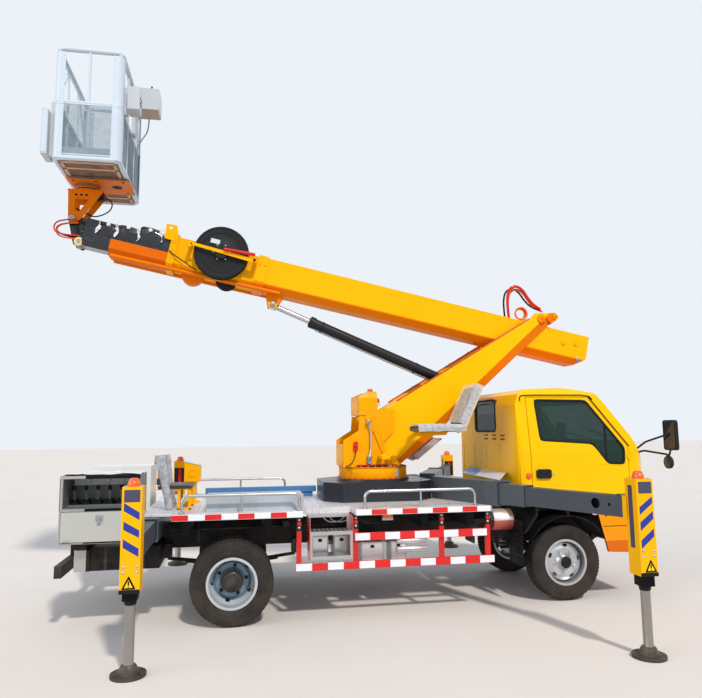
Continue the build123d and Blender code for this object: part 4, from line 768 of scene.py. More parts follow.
# Outrigger legs
def leg_details(s, word, end, x, y, low, stripes, mark_x):
    """Stripes, bare plate, warning triangle, slot, lamp cover and fasteners of one leg."""
    body = "beam_%s_%s" % (end, word)
    tag = "%s_%s" % (end, word)
    face = side_at(s, y + 0.075)
    marks = Build("leg_stripes_" + tag, body, blue, slot="yellow_paint")
    for left_low, left_high, right_low, right_high in stripes:
        loop = [(x - 0.054, left_low), (x + 0.056, right_low), (x + 0.056, right_high),
            (x - 0.054, left_high)]
        marks.slab(loop, face, -0.0003, 0.0012, 0.0004)
    marks.done()
    plate = Build("leg_plate_" + tag, body, label_dark)
    plate.plate((x - 0.055, x + 0.057), (1.212, 1.300), 0.006, face, -0.0003, 0.0016, 0.0008)
    plate.slab(rectangle((y - 0.036, y + 0.018), (0.80, 1.27), 0.004), on_x(x - 0.07, -1, s), -0.0003,
        0.002, 0.0008).done()
    inner = side_at(s, y - 0.075)
    Build("leg_inner_" + tag, body, black).plate((x - 0.062, x + 0.062), (1.030, 1.236), 0.006, inner,
        0.0003, -0.0015, 0.0005, both=True).done()
    Build("leg_inner_stripe_" + tag, body, tape_red).plate((x - 0.012, x + 0.024), (1.034, 1.228), 0.003,
        inner, -0.0015, -0.0026, 0.0003, both=True).done()
    sign = Build("leg_triangle_" + tag, body, reflect_yellow)
    loop = rounded([(mark_x - 0.050, low + 0.03), (mark_x + 0.050, low + 0.03), (mark_x, low + 0.125)],
        0.008)
    edge = Build("leg_triangle_edge_" + tag, body, rubber, slot="plastic")
    edge.slab(loop, face, -0.0003, 0.0012, 0.0004)
    edge.plate((x - 0.072, x + 0.072), (low - 0.001, low + 0.028), 0.004, face, -0.002, 0.002, 0.0008)
    sign.slab(grown(loop, -0.012), face, 0.0, 0.0018, 0.0004)
    edge.slab([(mark_x - 0.005, low + 0.058), (mark_x + 0.005, low + 0.058), (mark_x + 0.006, low + 0.088),
        (mark_x - 0.006, low + 0.088)], face, 0.0, 0.0026, 0.0003)
    edge.plate((mark_x - 0.005, mark_x + 0.005), (low + 0.045, low + 0.052), 0, face, 0.0, 0.0026, 0.0003)
    finish(sign, edge)
    studs = Build("leg_bolts_" + tag, body, steel)
    for dx in (-0.045, 0.045):
        for z in (low + 0.145, low + 0.185):
            studs.bolt(P(x + dx, s * (y + 0.075), z), (0, s, 0), 0.007, 0.006)
    for dx in (-0.05, 0.05):
        for dy in (-0.05, 0.05):
            studs.bolt(P(x + dx, s * (y + dy), 1.32), Z, 0.007, 0.006)
    studs.done()
    Build("leg_lamp_" + tag, body, lamp_orange).lathe(
        [(0.046, 0.0), (0.047, 0.012), (0.043, 0.026), (0.038, 0.036), (0.036, 0.040), (0.034, 0.052),
        (0.020, 0.0575), (0.0, 0.0578)], P(x, s * y, 1.32), Z, 36).done()


UP_STRIPES = ((1.053, 1.110, 1.137, 1.189), (0.934, 0.997, 1.021, 1.080), (0.803, 0.865, 0.892, 0.951))
DOWN_STRIPES = ((1.151, 1.209, 1.085, 1.138), (1.020, 1.078, 0.961, 1.013), (0.896, 0.955, 0.828, 0.885))
for s, word in SIDES:
    leg_details(s, word, *LEGS[0], 0.600, UP_STRIPES, 3.112)
    leg_details(s, word, *LEGS[1], 0.576, DOWN_STRIPES, -0.716)
    for end, x, y in LEGS:
        foot = Build("foot_%s_%s" % (end, word), "jack_%s_%s" % (end, word), black)
        foot.lathe([(0.1245, 0.002), (0.1245, 0.012), (0.118, 0.018), (0.085, 0.021), (0.084, 0.034),
            (0.064, 0.044), (0.062, 0.060), (0.052, 0.076), (0.040, 0.080)], P(x, s * y, 0), Z, 40)
        foot.bolts(around(P(x, s * y, 0.0185), 0.100, 6, 30, True), Z, 0.008, 0.007).done()
        Build("wiper_%s_%s" % (end, word), "jack_%s_%s" % (end, word),
            rubber).lathe([(0.037, 0.0), (0.042, 0.004), (0.043, 0.02), (0.046, 0.026), (0.046, 0.034),
            (0.037, 0.036)], P(x, s * y, 0.486), Z, 32).done()

# Cab trim
def screen_x(z):
    """The cab's nose line at a height."""
    line = ((1.440, 4.175), (1.490, 4.112), (1.630, 4.030), (1.955, 3.780), (2.072, 3.680))
    for (z0, x0), (z1, x1) in zip(line, line[1:]):
        if z <= z1:
            return x0 + (x1 - x0) * (z - z0) / (z1 - z0)
    return line[-1][1]


def nose(u, v, t):
    """A point on the windscreen's slope from (Y, Z)."""
    return P(screen_x(v) + t * 0.79, u, v + t * 0.61)


rear_wall = on_x(2.79, -1)


DOOR_GLASS = ((3.000, 2.000), (3.568, 1.992), (3.953, 1.505), (3.946, 1.340), (3.765, 1.345),
    (3.600, 1.550), (3.037, 1.588))


def dense(loop, step=0.05):
    """The same polygon with points no further than a step apart."""
    out = []
    for a, b in zip(loop, list(loop[1:]) + [loop[0]]):
        n = max(1, int((Vector(b) - Vector(a)).length / step))
        out += [tuple(Vector(a).lerp(Vector(b), k / n)) for k in range(n)]
    return out


for s, word in SIDES:
    seal = Build("door_seal_" + word, "door_" + word, rubber)
    seal.ring_frame(rounded(DOOR_GLASS, 0.045, 5), cab_side(s, -0.0005), 0.006, 0.013, 0.006)
    seal.tube([P(x, s * (cab_side_y(z) + 0.003), z)
        for x, z in ((3.603, 2.03), (3.795, 1.785), (4.004, 1.52))], 0.0055, 8, 1).done()
    Build("quarter_bar_" + word, "door_" + word, rubber).slab(
        [(3.738, 1.395), (3.760, 1.390), (3.770, 1.735), (3.752, 1.758)], cab_side(s, -0.012), 0, 0.012,
        0.003).done()
    cup = Build("door_handle_" + word, "door_" + word, plastic)
    cup.plate((2.972, 3.128), (1.212, 1.303), 0.022, side_at(s, 0.8485), 0, 0.021, 0.003)
    cup.ring_frame(rectangle((2.976, 3.124), (1.216, 1.299), 0.020), side_at(s, 0.8695), 0.004, 0.004,
        0.005)
    cup.plate((3.004, 3.112), (1.262, 1.290), 0.010, side_at(s, 0.8695), 0, 0.006, 0.002).done()
    Build("door_lock_" + word, "door_" + word, steel).lathe(
        [(0.012, -0.001), (0.012, 0.002), (0.009, 0.003), (0.008, 0.0015), (0.0, 0.0015)],
        P(3.16, s * 0.85, 1.25), (0, s, 0), 24).done()
    Build("side_marker_" + word, "chassis", lamp_orange).lathe(
        [(0.031, -0.002), (0.031, 0.006), (0.027, 0.013), (0.016, 0.018), (0.0, 0.019)],
        P(2.892, s * 0.85, 1.240), (0, s, 0), 32).done()
    Build("drip_rail_" + word, "chassis", rubber).tube([P(x, s * (cab_side_y(z) + 0.002), z)
        for x, z in ((2.845, 1.985), (2.850, 2.035), (2.90, 2.046), (3.30, 2.046), (3.60, 2.046),
        (3.645, 2.00))], 0.006, 8, 1).done()
    ribs = Build("cab_ribs_" + word, "chassis", cab_yellow)
    for x in (2.822, 2.868):
        ribs.plate((x - 0.009, x + 0.009), (1.06, 1.96), 0.006, cab_side(s, -0.001), 0, 0.005, 0.003)
    ribs.slab([(3.00, 1.548), (3.62, 1.352), (3.93, 1.330), (3.93, 1.322), (3.62, 1.343), (3.00, 1.538)],
        cab_side(s, -0.001), 0, 0.004, 0.0015).done()
    flap = Build("mud_flap_" + word, "chassis", rubber)
    flap.plate((0.50, 0.82), (0.36, 0.80), 0.02, on_x(2.806, 1, s), 0, 0.007, 0.002)
    for i in range(6):
        z = 0.42 + 0.05 * i
        flap.plate((0.52, 0.80), (z, z + 0.012), 0.004, on_x(2.806, -1, s), 0, 0.004, 0.001)
    flap.done()

VENTS = [(-0.02 - 0.225 * i, z) for i in range(3) for z in (1.600, 1.640)]
seals = Build("cab_seals", "chassis", rubber)
screen = rounded([(-0.690, 1.560), (-0.640, 1.985), (0.640, 1.985), (0.690, 1.560)], 0.07, 6)
seals.ring_frame(dense(screen), nose, 0.010, 0.014, 0.008)
seals.ring_frame(rectangle((-0.300, 0.300), (1.680, 2.020), 0.055, 5), rear_wall, 0.012, 0.013, 0.007)
for y0, y1 in ((-0.62, -0.05), (0.02, 0.58)):
    seals.tube([nose(y0, 1.53, 0.02), nose(y0 + 0.05, 1.58, 0.028), nose(y1, 1.66, 0.022)], 0.006, 8, 1)
    seals.tube([nose(y1 - 0.30, 1.575, 0.014), nose(y1 + 0.02, 1.73, 0.014)], 0.007, 6)
seals.plate((-0.60, 0.60), (1.468, 1.520), 0.014, lambda u, v, t: P(screen_x(v) + t, u, v), -0.004, 0.007,
    0.003)
# Dark plates stand for the vent openings: painted shade inside them.
for y, z in VENTS:
    seals.plate((y - 0.055, y + 0.055), (z - 0.009, z + 0.009), 0.008, rear_wall, -0.001, 0.003, 0.001)
seals.done()
lips = Build("vent_lips", "chassis", cab_yellow)
for y, z in VENTS:
    lips.slab([(y - 0.058, z + 0.004), (y + 0.058, z + 0.004), (y + 0.054, z + 0.014),
        (y - 0.054, z + 0.014)], rear_wall, 0, 0.009, 0.003)
for y in (-0.72, -0.36, 0.0, 0.36, 0.72):
    lips.plate((y - 0.012, y + 0.012), (1.05, 1.54), 0.008, rear_wall, -0.001, 0.005, 0.003)
lips.done()

# Cab front
front = Build("grille_bars", "chassis", plastic)
for i in range(3):
    z = 0.617 + 0.033 * i
    front.box((4.165, 4.19), (-0.425, 0.425), (z - 0.006, z + 0.006), 0.003)
front.plate((-0.52, 0.52), (1.20, 1.33), 0.03, on_x(4.202), -0.004, 0.006, 0.003)
for i in range(4):
    z = 1.222 + 0.026 * i
    front.plate((-0.49, 0.49), (z, z + 0.012), 0.004, on_x(4.208), 0, 0.006, 0.002)
front.done()
lens = Build("headlamps", "chassis", lamp_white, slot="glass")
rims = Build("headlamp_rims", "chassis", plastic)
blink = Build("front_indicators", "chassis", lamp_orange)
for s, word in SIDES:
    place = on_x(4.190, 1, s)
    rims.plate((0.523, 0.697), (0.603, 0.717), 0.012, place, 0.0, 0.018, 0.003)
    lens.lathe([(0.043, 0.0), (0.043, 0.006), (0.032, 0.014), (0.0, 0.017)], P(4.207, s * 0.585, 0.66), X,
        32)
    blink.lathe([(0.028, 0.0), (0.028, 0.006), (0.018, 0.012), (0.0, 0.014)], P(4.207, s * 0.662, 0.66), X,
        28)
    rims.plate((0.555, 0.735), (1.10, 1.25), 0.03, on_x(4.196, 1, s), -0.004, 0.008, 0.003)
    lens.plate((0.568, 0.668), (1.113, 1.237), 0.024, on_x(4.203, 1, s), 0, 0.009, 0.005)
    blink.plate((0.678, 0.724), (1.113, 1.237), 0.018, on_x(4.203, 1, s), 0, 0.008, 0.004)
finish(lens, rims, blink)
Build("bare_plate", "chassis", blue, slot="white_paint").plate((-0.22, 0.22), (0.72, 0.84), 0.012,
    on_x(4.226), -0.001, 0.003, 0.001).done()
teeth = Build("bumper_trim", "chassis", rubber)
for s, _ in SIDES:
    for i in range(9):
        x = 3.68 + 0.055 * i
        teeth.slab([(x, 0.842), (x + 0.034, 0.842), (x + 0.028, 0.826), (x + 0.006, 0.826)],
            side_at(s, 0.862), -0.001, 0.003, 0.001)
    teeth.slab([(3.665, 0.730), (4.20, 0.730), (4.20, 0.724), (3.667, 0.724)], side_at(s, 0.862), -0.001,
        0.002, 0.0006)
teeth.done()

# Mirrors
for s, word in SIDES:
    faces = Build("mirror_faces_" + word, "chassis", mirror_glass)
    faces.plate((1.022, 1.188), (1.495, 1.765), 0.022, on_x(4.2875, -1, s), 0, 0.002, 0.001)
    faces.lathe([(0.052, 0.0), (0.046, 0.003), (0.0, 0.008)], P(4.249, s * 1.105, 1.362), (-1, 0, 0),
        32).done()

# Padded pieces
def lattice(n):
    """The points and quads of a cube's skin with n cells a side."""
    index, verts, faces = {}, [], []

    def at(i, j, k):
        if (i, j, k) not in index:
            index[(i, j, k)] = len(verts)
            verts.append(tuple(2 * c / m - 1 for c, m in zip((i, j, k), n)))
        return index[(i, j, k)]

    for axis in range(3):
        a, b = (axis + 1) % 3, (axis + 2) % 3
        for end in (0, n[axis]):
            for i in range(n[a]):
                for j in range(n[b]):
                    quad = []
                    for di, dj in ((0, 0), (1, 0), (1, 1), (0, 1)):
                        p = [0, 0, 0]
                        p[axis], p[a], p[b] = end, i + di, j + dj
                        quad.append(at(*p))
                    faces.append(quad)
    return verts, faces


def softened(p, half, edge):
    """A box's point, moved in where the box's edges are round."""
    core = Vector([max(-h + edge, min(h - edge, q)) if h > edge else 0 for h, q in zip(half, p)])
    off = p - core
    return core + off.normalized() * min(off.length, edge) if off.length > 1e-6 else p


PAD_CELLS, PIPING_POINTS, PIPING_RADIUS = (18, 18, 5), 48, 0.004


def padding(name, body, mat, middle, axes, size, crown=0.02, pinch=0.008, grooves=(), depth=0.007,
        edge=0.03, piping=None):
    """A stuffed pad: crowned on top, pulled in along its sides, with sewn channels across its length."""
    points, faces = lattice(PAD_CELLS)
    u, v, w = (Vector(a).normalized() for a in axes)
    half = [d / 2 for d in size]

    def mapped(a, b, c):
        p = softened(Vector((a * half[0], b * half[1], c * half[2])), half, edge)
        swell = max(0.0, 1 - a * a) ** 0.6 * max(0.0, 1 - b * b) ** 0.6
        if c > 0:
            p.z += crown * swell * c
            for g in grooves:
                p.z -= depth * exp(-((p.x - g) / 0.007) ** 2) * c
        p.x -= pinch * a * (1 - b * b)
        p.y -= pinch * b * (1 - a * a)
        p.z += 0.0015 * c * noise.noise(Vector((a * 3, b * 3, c + len(name))))
        return Vector(middle) + u * p.x + v * p.y + w * p.z

    build = Build(name, body, mat, 60, "wrapped_vinyl")
    build.put([mapped(*p) for p in points], faces)
    obj = build.done()
    sub = obj.modifiers.new("smooth", "SUBSURF")
    sub.levels = sub.render_levels = 1
    if not piping:
        return
    line = []
    for i in range(PIPING_POINTS):
        cx, sy = cos(tau * i / PIPING_POINTS), sin(tau * i / PIPING_POINTS)
        m = max(abs(cx), abs(sy))
        line.append(mapped(cx / m, sy / m, 0.55))
    centre = sum(line, Vector()) / len(line)
    line = [p + (p - centre).normalized() * 0.001 for p in line]
    rows = []
    for i, p in enumerate(line):
        _, e, f = frame_of((line[(i + 1) % PIPING_POINTS] - line[i - 1]).normalized())
        rows.append([p + e * (PIPING_RADIUS * cos(t)) + f * (PIPING_RADIUS * sin(t))
            for t in (tau * k / 6 for k in range(6))])
    Build(name + "_piping", body, piping, 60, "wrapped_vinyl").skin(rows, closed_line=True).done()


def wrap(name, body, mat, rows, thick, crease, slot="glass"):
    """Creased plastic film through rows of points, closed into a thin shell."""
    out = []
    for lift in (0.0, thick):
        for row in rows:
            for p in row:
                n = noise.noise_vector(p * 11) * crease + noise.noise_vector(p * 31) * crease * 0.35
                out.append(p + n + Vector((0, 0, lift)))
    m, n = len(rows), len(rows[0])
    faces = []
    for layer in (0, 1):
        base = layer * m * n
        for i in range(m - 1):
            for j in range(n - 1):
                a = base + i * n + j
                faces.append((a, a + 1, a + n + 1, a + n))
    rim = ([(0, j) for j in range(n)] + [(i, n - 1) for i in range(1, m)] + [(m - 1, j)
        for j in range(n - 2, -1, -1)] + [(i, 0) for i in range(m - 2, 0, -1)])
    for (i, j), (k, l) in zip(rim, rim[1:] + rim[:1]):
        a, b = i * n + j, k * n + l
        faces.append((a, b, b + m * n, a + m * n))
    build = Build(name, body, mat, 60, slot)
    build.put(out, faces)
    build.done()


# Cab seats
for y, wide, tag in ((0.4425, 0.475, "left"), (-0.4875, 0.565, "right")):
    padding("seat_cushion_" + tag, "chassis", fabric, P(3.235, y, 1.305), (X, Y, Z),
            (0.462, wide, 0.115), 0.014, 0.006, (-0.12, -0.02, 0.08), piping=vinyl)
    padding("seat_back_" + tag, "chassis", fabric, P(2.992, y, 1.63), ((-0.14, 0, 1), Y, (1, 0, 0.14)),
            (0.50, wide, 0.095), 0.014, 0.006, (-0.14, -0.04, 0.06), piping=vinyl)
base = Build("seat_bases", "chassis", plastic)
for y in (0.4425, -0.4875):
    base.box((3.045, 3.415), (y - 0.19, y + 0.19), (1.032, 1.243), 0.012)
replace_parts(base.done(), "cab_seats")

# Operator seat beside the lower boom
padding("operator_cushion", "turntable", vinyl, P(2.045, -0.555, 1.715), (X, Y, Z),
        (0.482, 0.405, 0.062), 0.010, 0.006, (-0.13, -0.04, 0.05, 0.14), 0.005, 0.026, piping=plastic)
padding("operator_back", "turntable", vinyl, P(2.362, -0.555, 1.945),
    ((0.43, 0, 0.90), Y, (-0.90, 0, 0.43)), (0.415, 0.400, 0.070), 0.010, 0.006, (-0.10, 0.0, 0.10), 0.005,
    0.028, piping=plastic)
shell = Build("operator_frame", "turntable", yellow)
shell.slab(rounded([(1.500, 1.400), (1.490, 1.450), (1.850, 1.680), (2.200, 1.680), (2.200, 1.648),
    (1.870, 1.640), (1.555, 1.405)], 0.014, 3), side_at(-1, 0.39), 0.0, 0.03, 0.004, both=True)
shell.box((1.492, 1.538), (-0.390, -0.252), (1.404, 1.446), 0.004)
for y in (-0.37, -0.74):
    shell.tube([P(2.20, y, 1.675), P(2.28, y, 1.705), P(2.475, y, 2.115)], 0.011, 10, 1)
for y in (-0.68, -0.44):
    shell.plate((1.84, 2.21), (y - 0.014, y + 0.014), 0, on_z(1.681), 0.0, 0.004, 0.001)
shell.bolts([P(1.56, -0.42, 1.462), P(1.66, -0.42, 1.525), P(1.93, -0.42, 1.660), P(2.12, -0.42, 1.660)],
    (0, -1, 0), radius=0.008)
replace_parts(shell.done(), "operator_seat")
CUSHION_WRAP = ((-0.768, 1.690), (-0.771, 1.712), (-0.772, 1.736), (-0.762, 1.752), (-0.74, 1.760))
rows = []
for i in range(26):
    x = 1.792 + 0.496 * i / 25
    section = list(CUSHION_WRAP) + [(-0.74 + 0.37 * (j + 1) / 15, 1.760) for j in range(15)]
    rows.append([P(x, y, z + 0.003 * sin(k * 0.9 + i * 0.5)) for k, (y, z) in enumerate(section)])
wrap("operator_film", "turntable", film, rows, 0.002, 0.008)
BACK_WRAP = ((-0.768, -0.030), (-0.771, 0.0), (-0.772, 0.030), (-0.762, 0.044), (-0.740, 0.050))
rows = []
for i in range(24):
    along = -0.212 + 0.436 * i / 23
    section = list(BACK_WRAP) + [(-0.74 + 0.37 * (j + 1) / 15, 0.050) for j in range(15)]
    rows.append([P(2.362 + 0.431 * along - 0.902 * lift, y, 1.945 + 0.902 * along + 0.431 * lift)
        for y, lift in section])
wrap("operator_back_film", "turntable", film, rows, 0.002, 0.008)

# Rear seat
padding("rear_cushion", "chassis", vinyl, P(-0.538, -0.44, 1.196), (X, Y, Z),
        (0.318, 0.395, 0.034), 0.004, 0.005, (-0.08, 0.0, 0.08), 0.003, 0.015, piping=vinyl)
padding("rear_back_low", "chassis", vinyl, P(-0.671, -0.44, 1.250), ((0.06, 0, 1), Y, (1, 0, -0.06)),
        (0.075, 0.392, 0.072), 0.002, 0.004, edge=0.02)
padding("rear_back_top", "chassis", vinyl, P(-0.680, -0.44, 1.443), ((0.0, 0, 1), Y, (1, 0, 0.0)),
        (0.082, 0.392, 0.100), 0.003, 0.004, edge=0.022, piping=vinyl)
legs = Build("rear_seat_frame", "chassis", yellow)
for y in (-0.60, -0.28):
    for x in (-0.50, -0.40):
        legs.box((x - 0.012, x + 0.012), (y - 0.012, y + 0.012), (0.985, 1.178), 0.002)
    legs.box((-0.512, -0.388), (y - 0.012, y + 0.012), (0.985, 1.000), 0.002)
    legs.box((-0.70, -0.376), (y - 0.018, y + 0.018), (1.172, 1.180), 0.002)
for y in (-0.62, -0.26):
    legs.tube([P(-0.66, y, 1.185), P(-0.690, y, 1.215), P(-0.682, y, 1.478)], 0.011, 10, 1)
legs.box((-0.470, -0.385), (-0.050, 0.050), (0.985, 1.203), 0.004)
legs.slab([(-0.498, 1.200), (-0.337, 1.200), (-0.337, 1.360), (-0.498, 1.400)], side_at(1, 0), -0.090,
    0.090, 0.004, both=True)
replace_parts(legs.done(), "rear_seat")
rows = []
for i in range(14):
    z = 1.262 + 0.222 * i / 13
    rows.append([P(-0.612 + 0.006 * sin(i + j * 0.7), -0.632 + 0.384 * j / 17, z) for j in range(18)])
wrap("rear_seat_film", "chassis", film, rows, 0.0015, 0.006)
grey_wrap = surface("grey_wrap", rgb(178, 180, 184), 0.3, vary=0.35, scale=24, alpha=0.86, coat=0.3,
                    bump=(("noise", 26, 0.012, 6), ("noise", 90, 0.003)))
rows = []
for i in range(20):
    rise = i / 19
    front, depth = -0.552 - 0.076 * rise, 0.060 + 0.044 * rise
    section = [(front, y) for y in (-0.26, -0.36, -0.46, -0.56, -0.635)]
    section += [(front - 0.012, -0.650), (front - depth / 2, -0.654), (front - depth + 0.012, -0.650),
        (front - depth, -0.635)]
    rows.append([P(x, y, 1.000 + 0.490 * rise) for x, y in section])
wrap("rear_seat_wrap", "chassis", grey_wrap, rows, 0.0015, 0.008)


# Hoses and cables
def hose(name, body, mat, points, diameter):
    """A free hose on one smooth curve, from one fitting to the next."""
    curve = bpy.data.curves.new(name, "CURVE")
    curve.dimensions = "3D"
    curve.resolution_u = 6
    spline = curve.splines.new("NURBS")
    spline.points.add(len(points) - 1)
    for point, at in zip(spline.points, points):
        point.co = (*at, 1)
    spline.order_u = 3
    spline.use_endpoint_u = True
    obj = bpy.data.objects.new(name, curve)
    link(obj)
    line = bpy.data.meshes.new_from_object(obj.evaluated_get(bpy.context.evaluated_depsgraph_get()))
    curve.bevel_depth = diameter / 2
    curve.bevel_resolution = 2
    curve.use_fill_caps = True
    curve.materials.append(mat)
    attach(obj, body)


# Mast
mast = Build("mast_trim", "turntable", yellow)
for s in (-1, 1):
    mast.slab([(1.622, 1.330), (1.640, 1.330), (1.735, 1.330), (1.650, 1.470)], side_at(s, 0.250), 0, 0.008,
        0.002)
mast.plate((-0.20, 0.20), (1.885, 2.020), 0.03, on_x(1.296, -1), -0.001, 0.006, 0.004)
mast.plate((-0.205, 0.205), (1.345, 1.545), 0.02, on_x(1.124, -1), -0.001, 0.005, 0.003).done()
bolts = Build("mast_bolts", "turntable", galvanised)
for s in (-1, 1):
    bolts.bolts([P(x, s * 0.250, z) for x, z in ((1.33, 1.885), (1.46, 1.885))], (0, s, 0), 0.005, 0.004)
bolts.bolts([P(1.290, y, z) for y in (-0.175, 0.175) for z in (1.905, 2.0)], (-1, 0, 0), 0.006, 0.005)
bolts.bolts([P(1.119, y, z) for y in (-0.18, 0.18) for z in (1.37, 1.52)], (-1, 0, 0), 0.006, 0.005)
bolts.bolts(around(P(MAST_X, 0, 1.325), 0.330, 28, 180 / 28, True), Z, 0.009, 0.009).done()
ring = Build("slew_ring", "turntable", orange)
ring.lathe([(0.364, 0.0), (0.372, 0.0), (0.372, 0.016), (0.364, 0.020)], P(MAST_X, 0, 1.204), Z, 72)
ring.lathe([(0.364, 0.0), (0.370, 0.003), (0.370, 0.011), (0.364, 0.014)], P(MAST_X, 0, 1.311), Z,
    72).done()
MARK_ANGLE, DRUM_R = atan2(-0.84, 0.54), 0.3655


def on_drum(u, v, t):
    """A point on the drum, u along its round."""
    a = MARK_ANGLE + u / 0.365
    return P(MAST_X + (DRUM_R + t) * cos(a), (DRUM_R + t) * sin(a), v)


Build("drum_mark", "turntable", white).plate((-0.022, 0.022), (1.225, 1.300), 0.006, on_drum, 0.0, 0.0015,
    0.0005).done()
Build("mast_lever", "turntable", chrome).tube(
    [P(1.387, -0.285, 1.791), P(1.400, -0.285, 1.750), P(1.416, -0.285, 1.700), P(1.414, -0.285, 1.60),
    P(1.411, -0.285, 1.485), P(1.398, -0.285, 1.445)], 0.0105, 12, 2).done()
clevis = Build("mast_clevis", "turntable", galvanised)
for x, z in ((1.385, 1.797), (1.393, 1.430)):
    clevis.box((x - 0.020, x + 0.020), (-0.302, -0.268), (z - 0.032, z + 0.018), 0.006)
    clevis.lathe([(0.016, 0.0), (0.016, 0.006), (0.009, 0.010), (0.0, 0.010)], P(x, -0.302, z), (0, -1, 0),
        20)
    clevis.lathe([(0.012, 0.0), (0.012, 0.02)], P(x, -0.250, z), (0, -1, 0), 16)
clevis.slab(rounded([(1.365, 1.435), (1.425, 1.435), (1.415, 1.350), (1.380, 1.350)], 0.012),
    side_at(-1, 0.25), 0, 0.022, 0.004).done()
stop = Build("mast_button", "turntable", red)
stop.plate((1.228, 1.274), (1.496, 1.589), 0.014, side_at(-1, 0.25), -0.001, 0.032, 0.006)
stop.lathe([(0.020, 0.0), (0.020, 0.010), (0.017, 0.016), (0.0, 0.018)], P(1.251, -0.282, 1.555),
    (0, -1, 0), 24)
stop.plate((1.262, 1.690), (1.330, 1.349), 0.006, side_at(-1, 0.25), -0.001, 0.010, 0.003).done()
hose("mast_cable", "turntable", hose_black, [P(1.251, -0.268, 1.497), P(1.246, -0.275, 1.44),
    P(1.215, -0.285, 1.375), P(1.165, -0.270, 1.335), P(1.125, -0.215, 1.332), P(1.123, -0.15, 1.350)],
    0.010)
beacon = Build("hood_beacon", "turntable", lamp_red)
beacon.lathe([(0.0295, 0.0), (0.031, 0.004), (0.031, 0.034), (0.026, 0.050), (0.014, 0.0585),
    (0.0, 0.0595)], P(1.466, 0, 2.101), Z, 32)
beacon.lathe([(0.030, 0.0), (0.030, 0.035), (0.024, 0.050), (0.0, 0.056)], P(1.600, 0.264, 2.012), Z,
    28).done()
stem = Build("beacon_stem", "turntable", white)
stem.lathe([(0.034, 0.0), (0.034, 0.030), (0.028, 0.036), (0.0, 0.036)], P(1.600, 0.264, 1.978), Z, 28)
stem.tube([P(1.600, 0.264, 1.985), P(1.595, 0.264, 1.93), P(1.56, 0.262, 1.86), P(1.54, 0.256, 1.80)],
    0.010, 10, 1).done()

# Lower boom
low_a, low_b = Vector((1.593, 1.932)), Vector((3.290, 2.938))
edge = Build("boom_edge_pipe", "lower_boom", surface("pipe_red", rgb(190, 62, 12), 0.35, coat=0.3,
    vary=0.12, bump=PEEL), slot="red_paint")
for s in (-1, 1):
    edge.tube([P(x, s * 0.201, z + 0.004) for x, z in ((1.72, 2.0092), (3.20, 2.886), (3.285, 2.936))],
        0.012, 10)
edge.done()
clips = Build("boom_clips", "lower_boom", orange)
for i in range(7):
    p = low_a.lerp(low_b, 0.11 + 0.135 * i)
    for s in (-1, 1):
        clips.box((p.x - 0.014, p.x + 0.014), (s * 0.201 - 0.016, s * 0.201 + 0.016),
            (p.y - 0.006, p.y + 0.020), 0.003)
clips.done()
cap = Build("elbow_caps", "lower_boom", orange)
for s in (-1, 1):
    cap.lathe([(0.052, 0.0), (0.052, 0.006), (0.046, 0.012), (0.034, 0.014), (0.030, 0.022), (0.0, 0.024)],
        P(3.422, s * 0.2195, 2.940), (0, s, 0), 32)
    for a in (0.4, 2.5, 4.6):
        cap.bolt(P(3.422 + 0.040 * cos(a), s * 0.230, 2.940 + 0.040 * sin(a)), (0, s, 0), 0.006, 0.006)
    cap.lathe([(0.014, 0.0), (0.014, 0.012), (0.0, 0.014)], P(3.597, s * 0.2195, 2.972), (0, s, 0), 16)
cap.done()
Build("elbow_ring", "lower_boom", yellow).torus(P(3.597, -0.232, 2.968), (0.024, 0.026), 0.006, 24).done()
cooler_grey = surface("cooler", rgb(206, 184, 178), 0.5, metal=0.15, vary=0.12, bump=(
    ("ridge", (0.61, 0, -0.79), 0.012, 0.003), ("ridge", (0.79, 0, 0.61), 0.04, 0.001)), dust=0.2)
core = Build("cooler_core", "lower_boom", cooler_grey, slot="aluminium")
cooler = rounded([(1.900, 1.432), (2.145, 1.616), (2.231, 1.606), (1.948, 1.385)], 0.008)
core.slab(cooler, side_at(-1, 0.145), 0, -0.290, 0.004, both=True).done()
shroud = Build("cooler_frame", "lower_boom", cooler_grey, slot="aluminium")
shroud.ring_frame(cooler, side_at(-1, 0.145), 0.004, 0.012, 0.008)
shroud.tube([P(1.93, -0.10, 1.398), P(1.915, -0.09, 1.382), P(1.875, -0.09, 1.400), P(1.83, -0.09, 1.42)],
    0.014, 10, 2)
for y in (-0.11, 0.11):
    shroud.box((1.985, 2.015), (y - 0.012, y + 0.012), (1.485, 1.560), 0.003)
    shroud.box((2.105, 2.135), (y - 0.012, y + 0.012), (1.575, 1.650), 0.003)
shroud.done()
ELBOW_ARC = ((3.075, 2.948), (3.066, 3.06), (3.062, 3.19), (3.088, 3.300), (3.168, 3.345), (3.256, 3.300),
    (3.318, 3.190), (3.390, 3.105), (3.452, 3.068))
for word, mat, paint, y, dx, dz, thick in (("red", hose_red, "red_paint", -0.120, 0.0, 0.0, 0.032),
        ("yellow", hose_orange, "orange_paint", -0.080, 0.022, -0.028, 0.028),
        ("black", hose_black, "rubber", -0.040, -0.012, -0.014, 0.022)):
    points = []
    for k, (x, z) in enumerate(ELBOW_ARC):
        inward = 0.0 if k < 6 else (k - 5) / 3
        points.append(P(x + dx, y + (-0.150 - y) * inward * inward, z + dz * min(1, k / 2)))
    hose("elbow_hose_" + word, "upper_boom", mat, points, thick)
coil = Build("elbow_coil", "upper_boom", hose_orange)
for k in range(3):
    coil.torus(P(3.212, -0.150 + 0.018 * k, 3.012), (0.070 - 0.006 * k,) * 2, 0.009, 30)
coil.done()

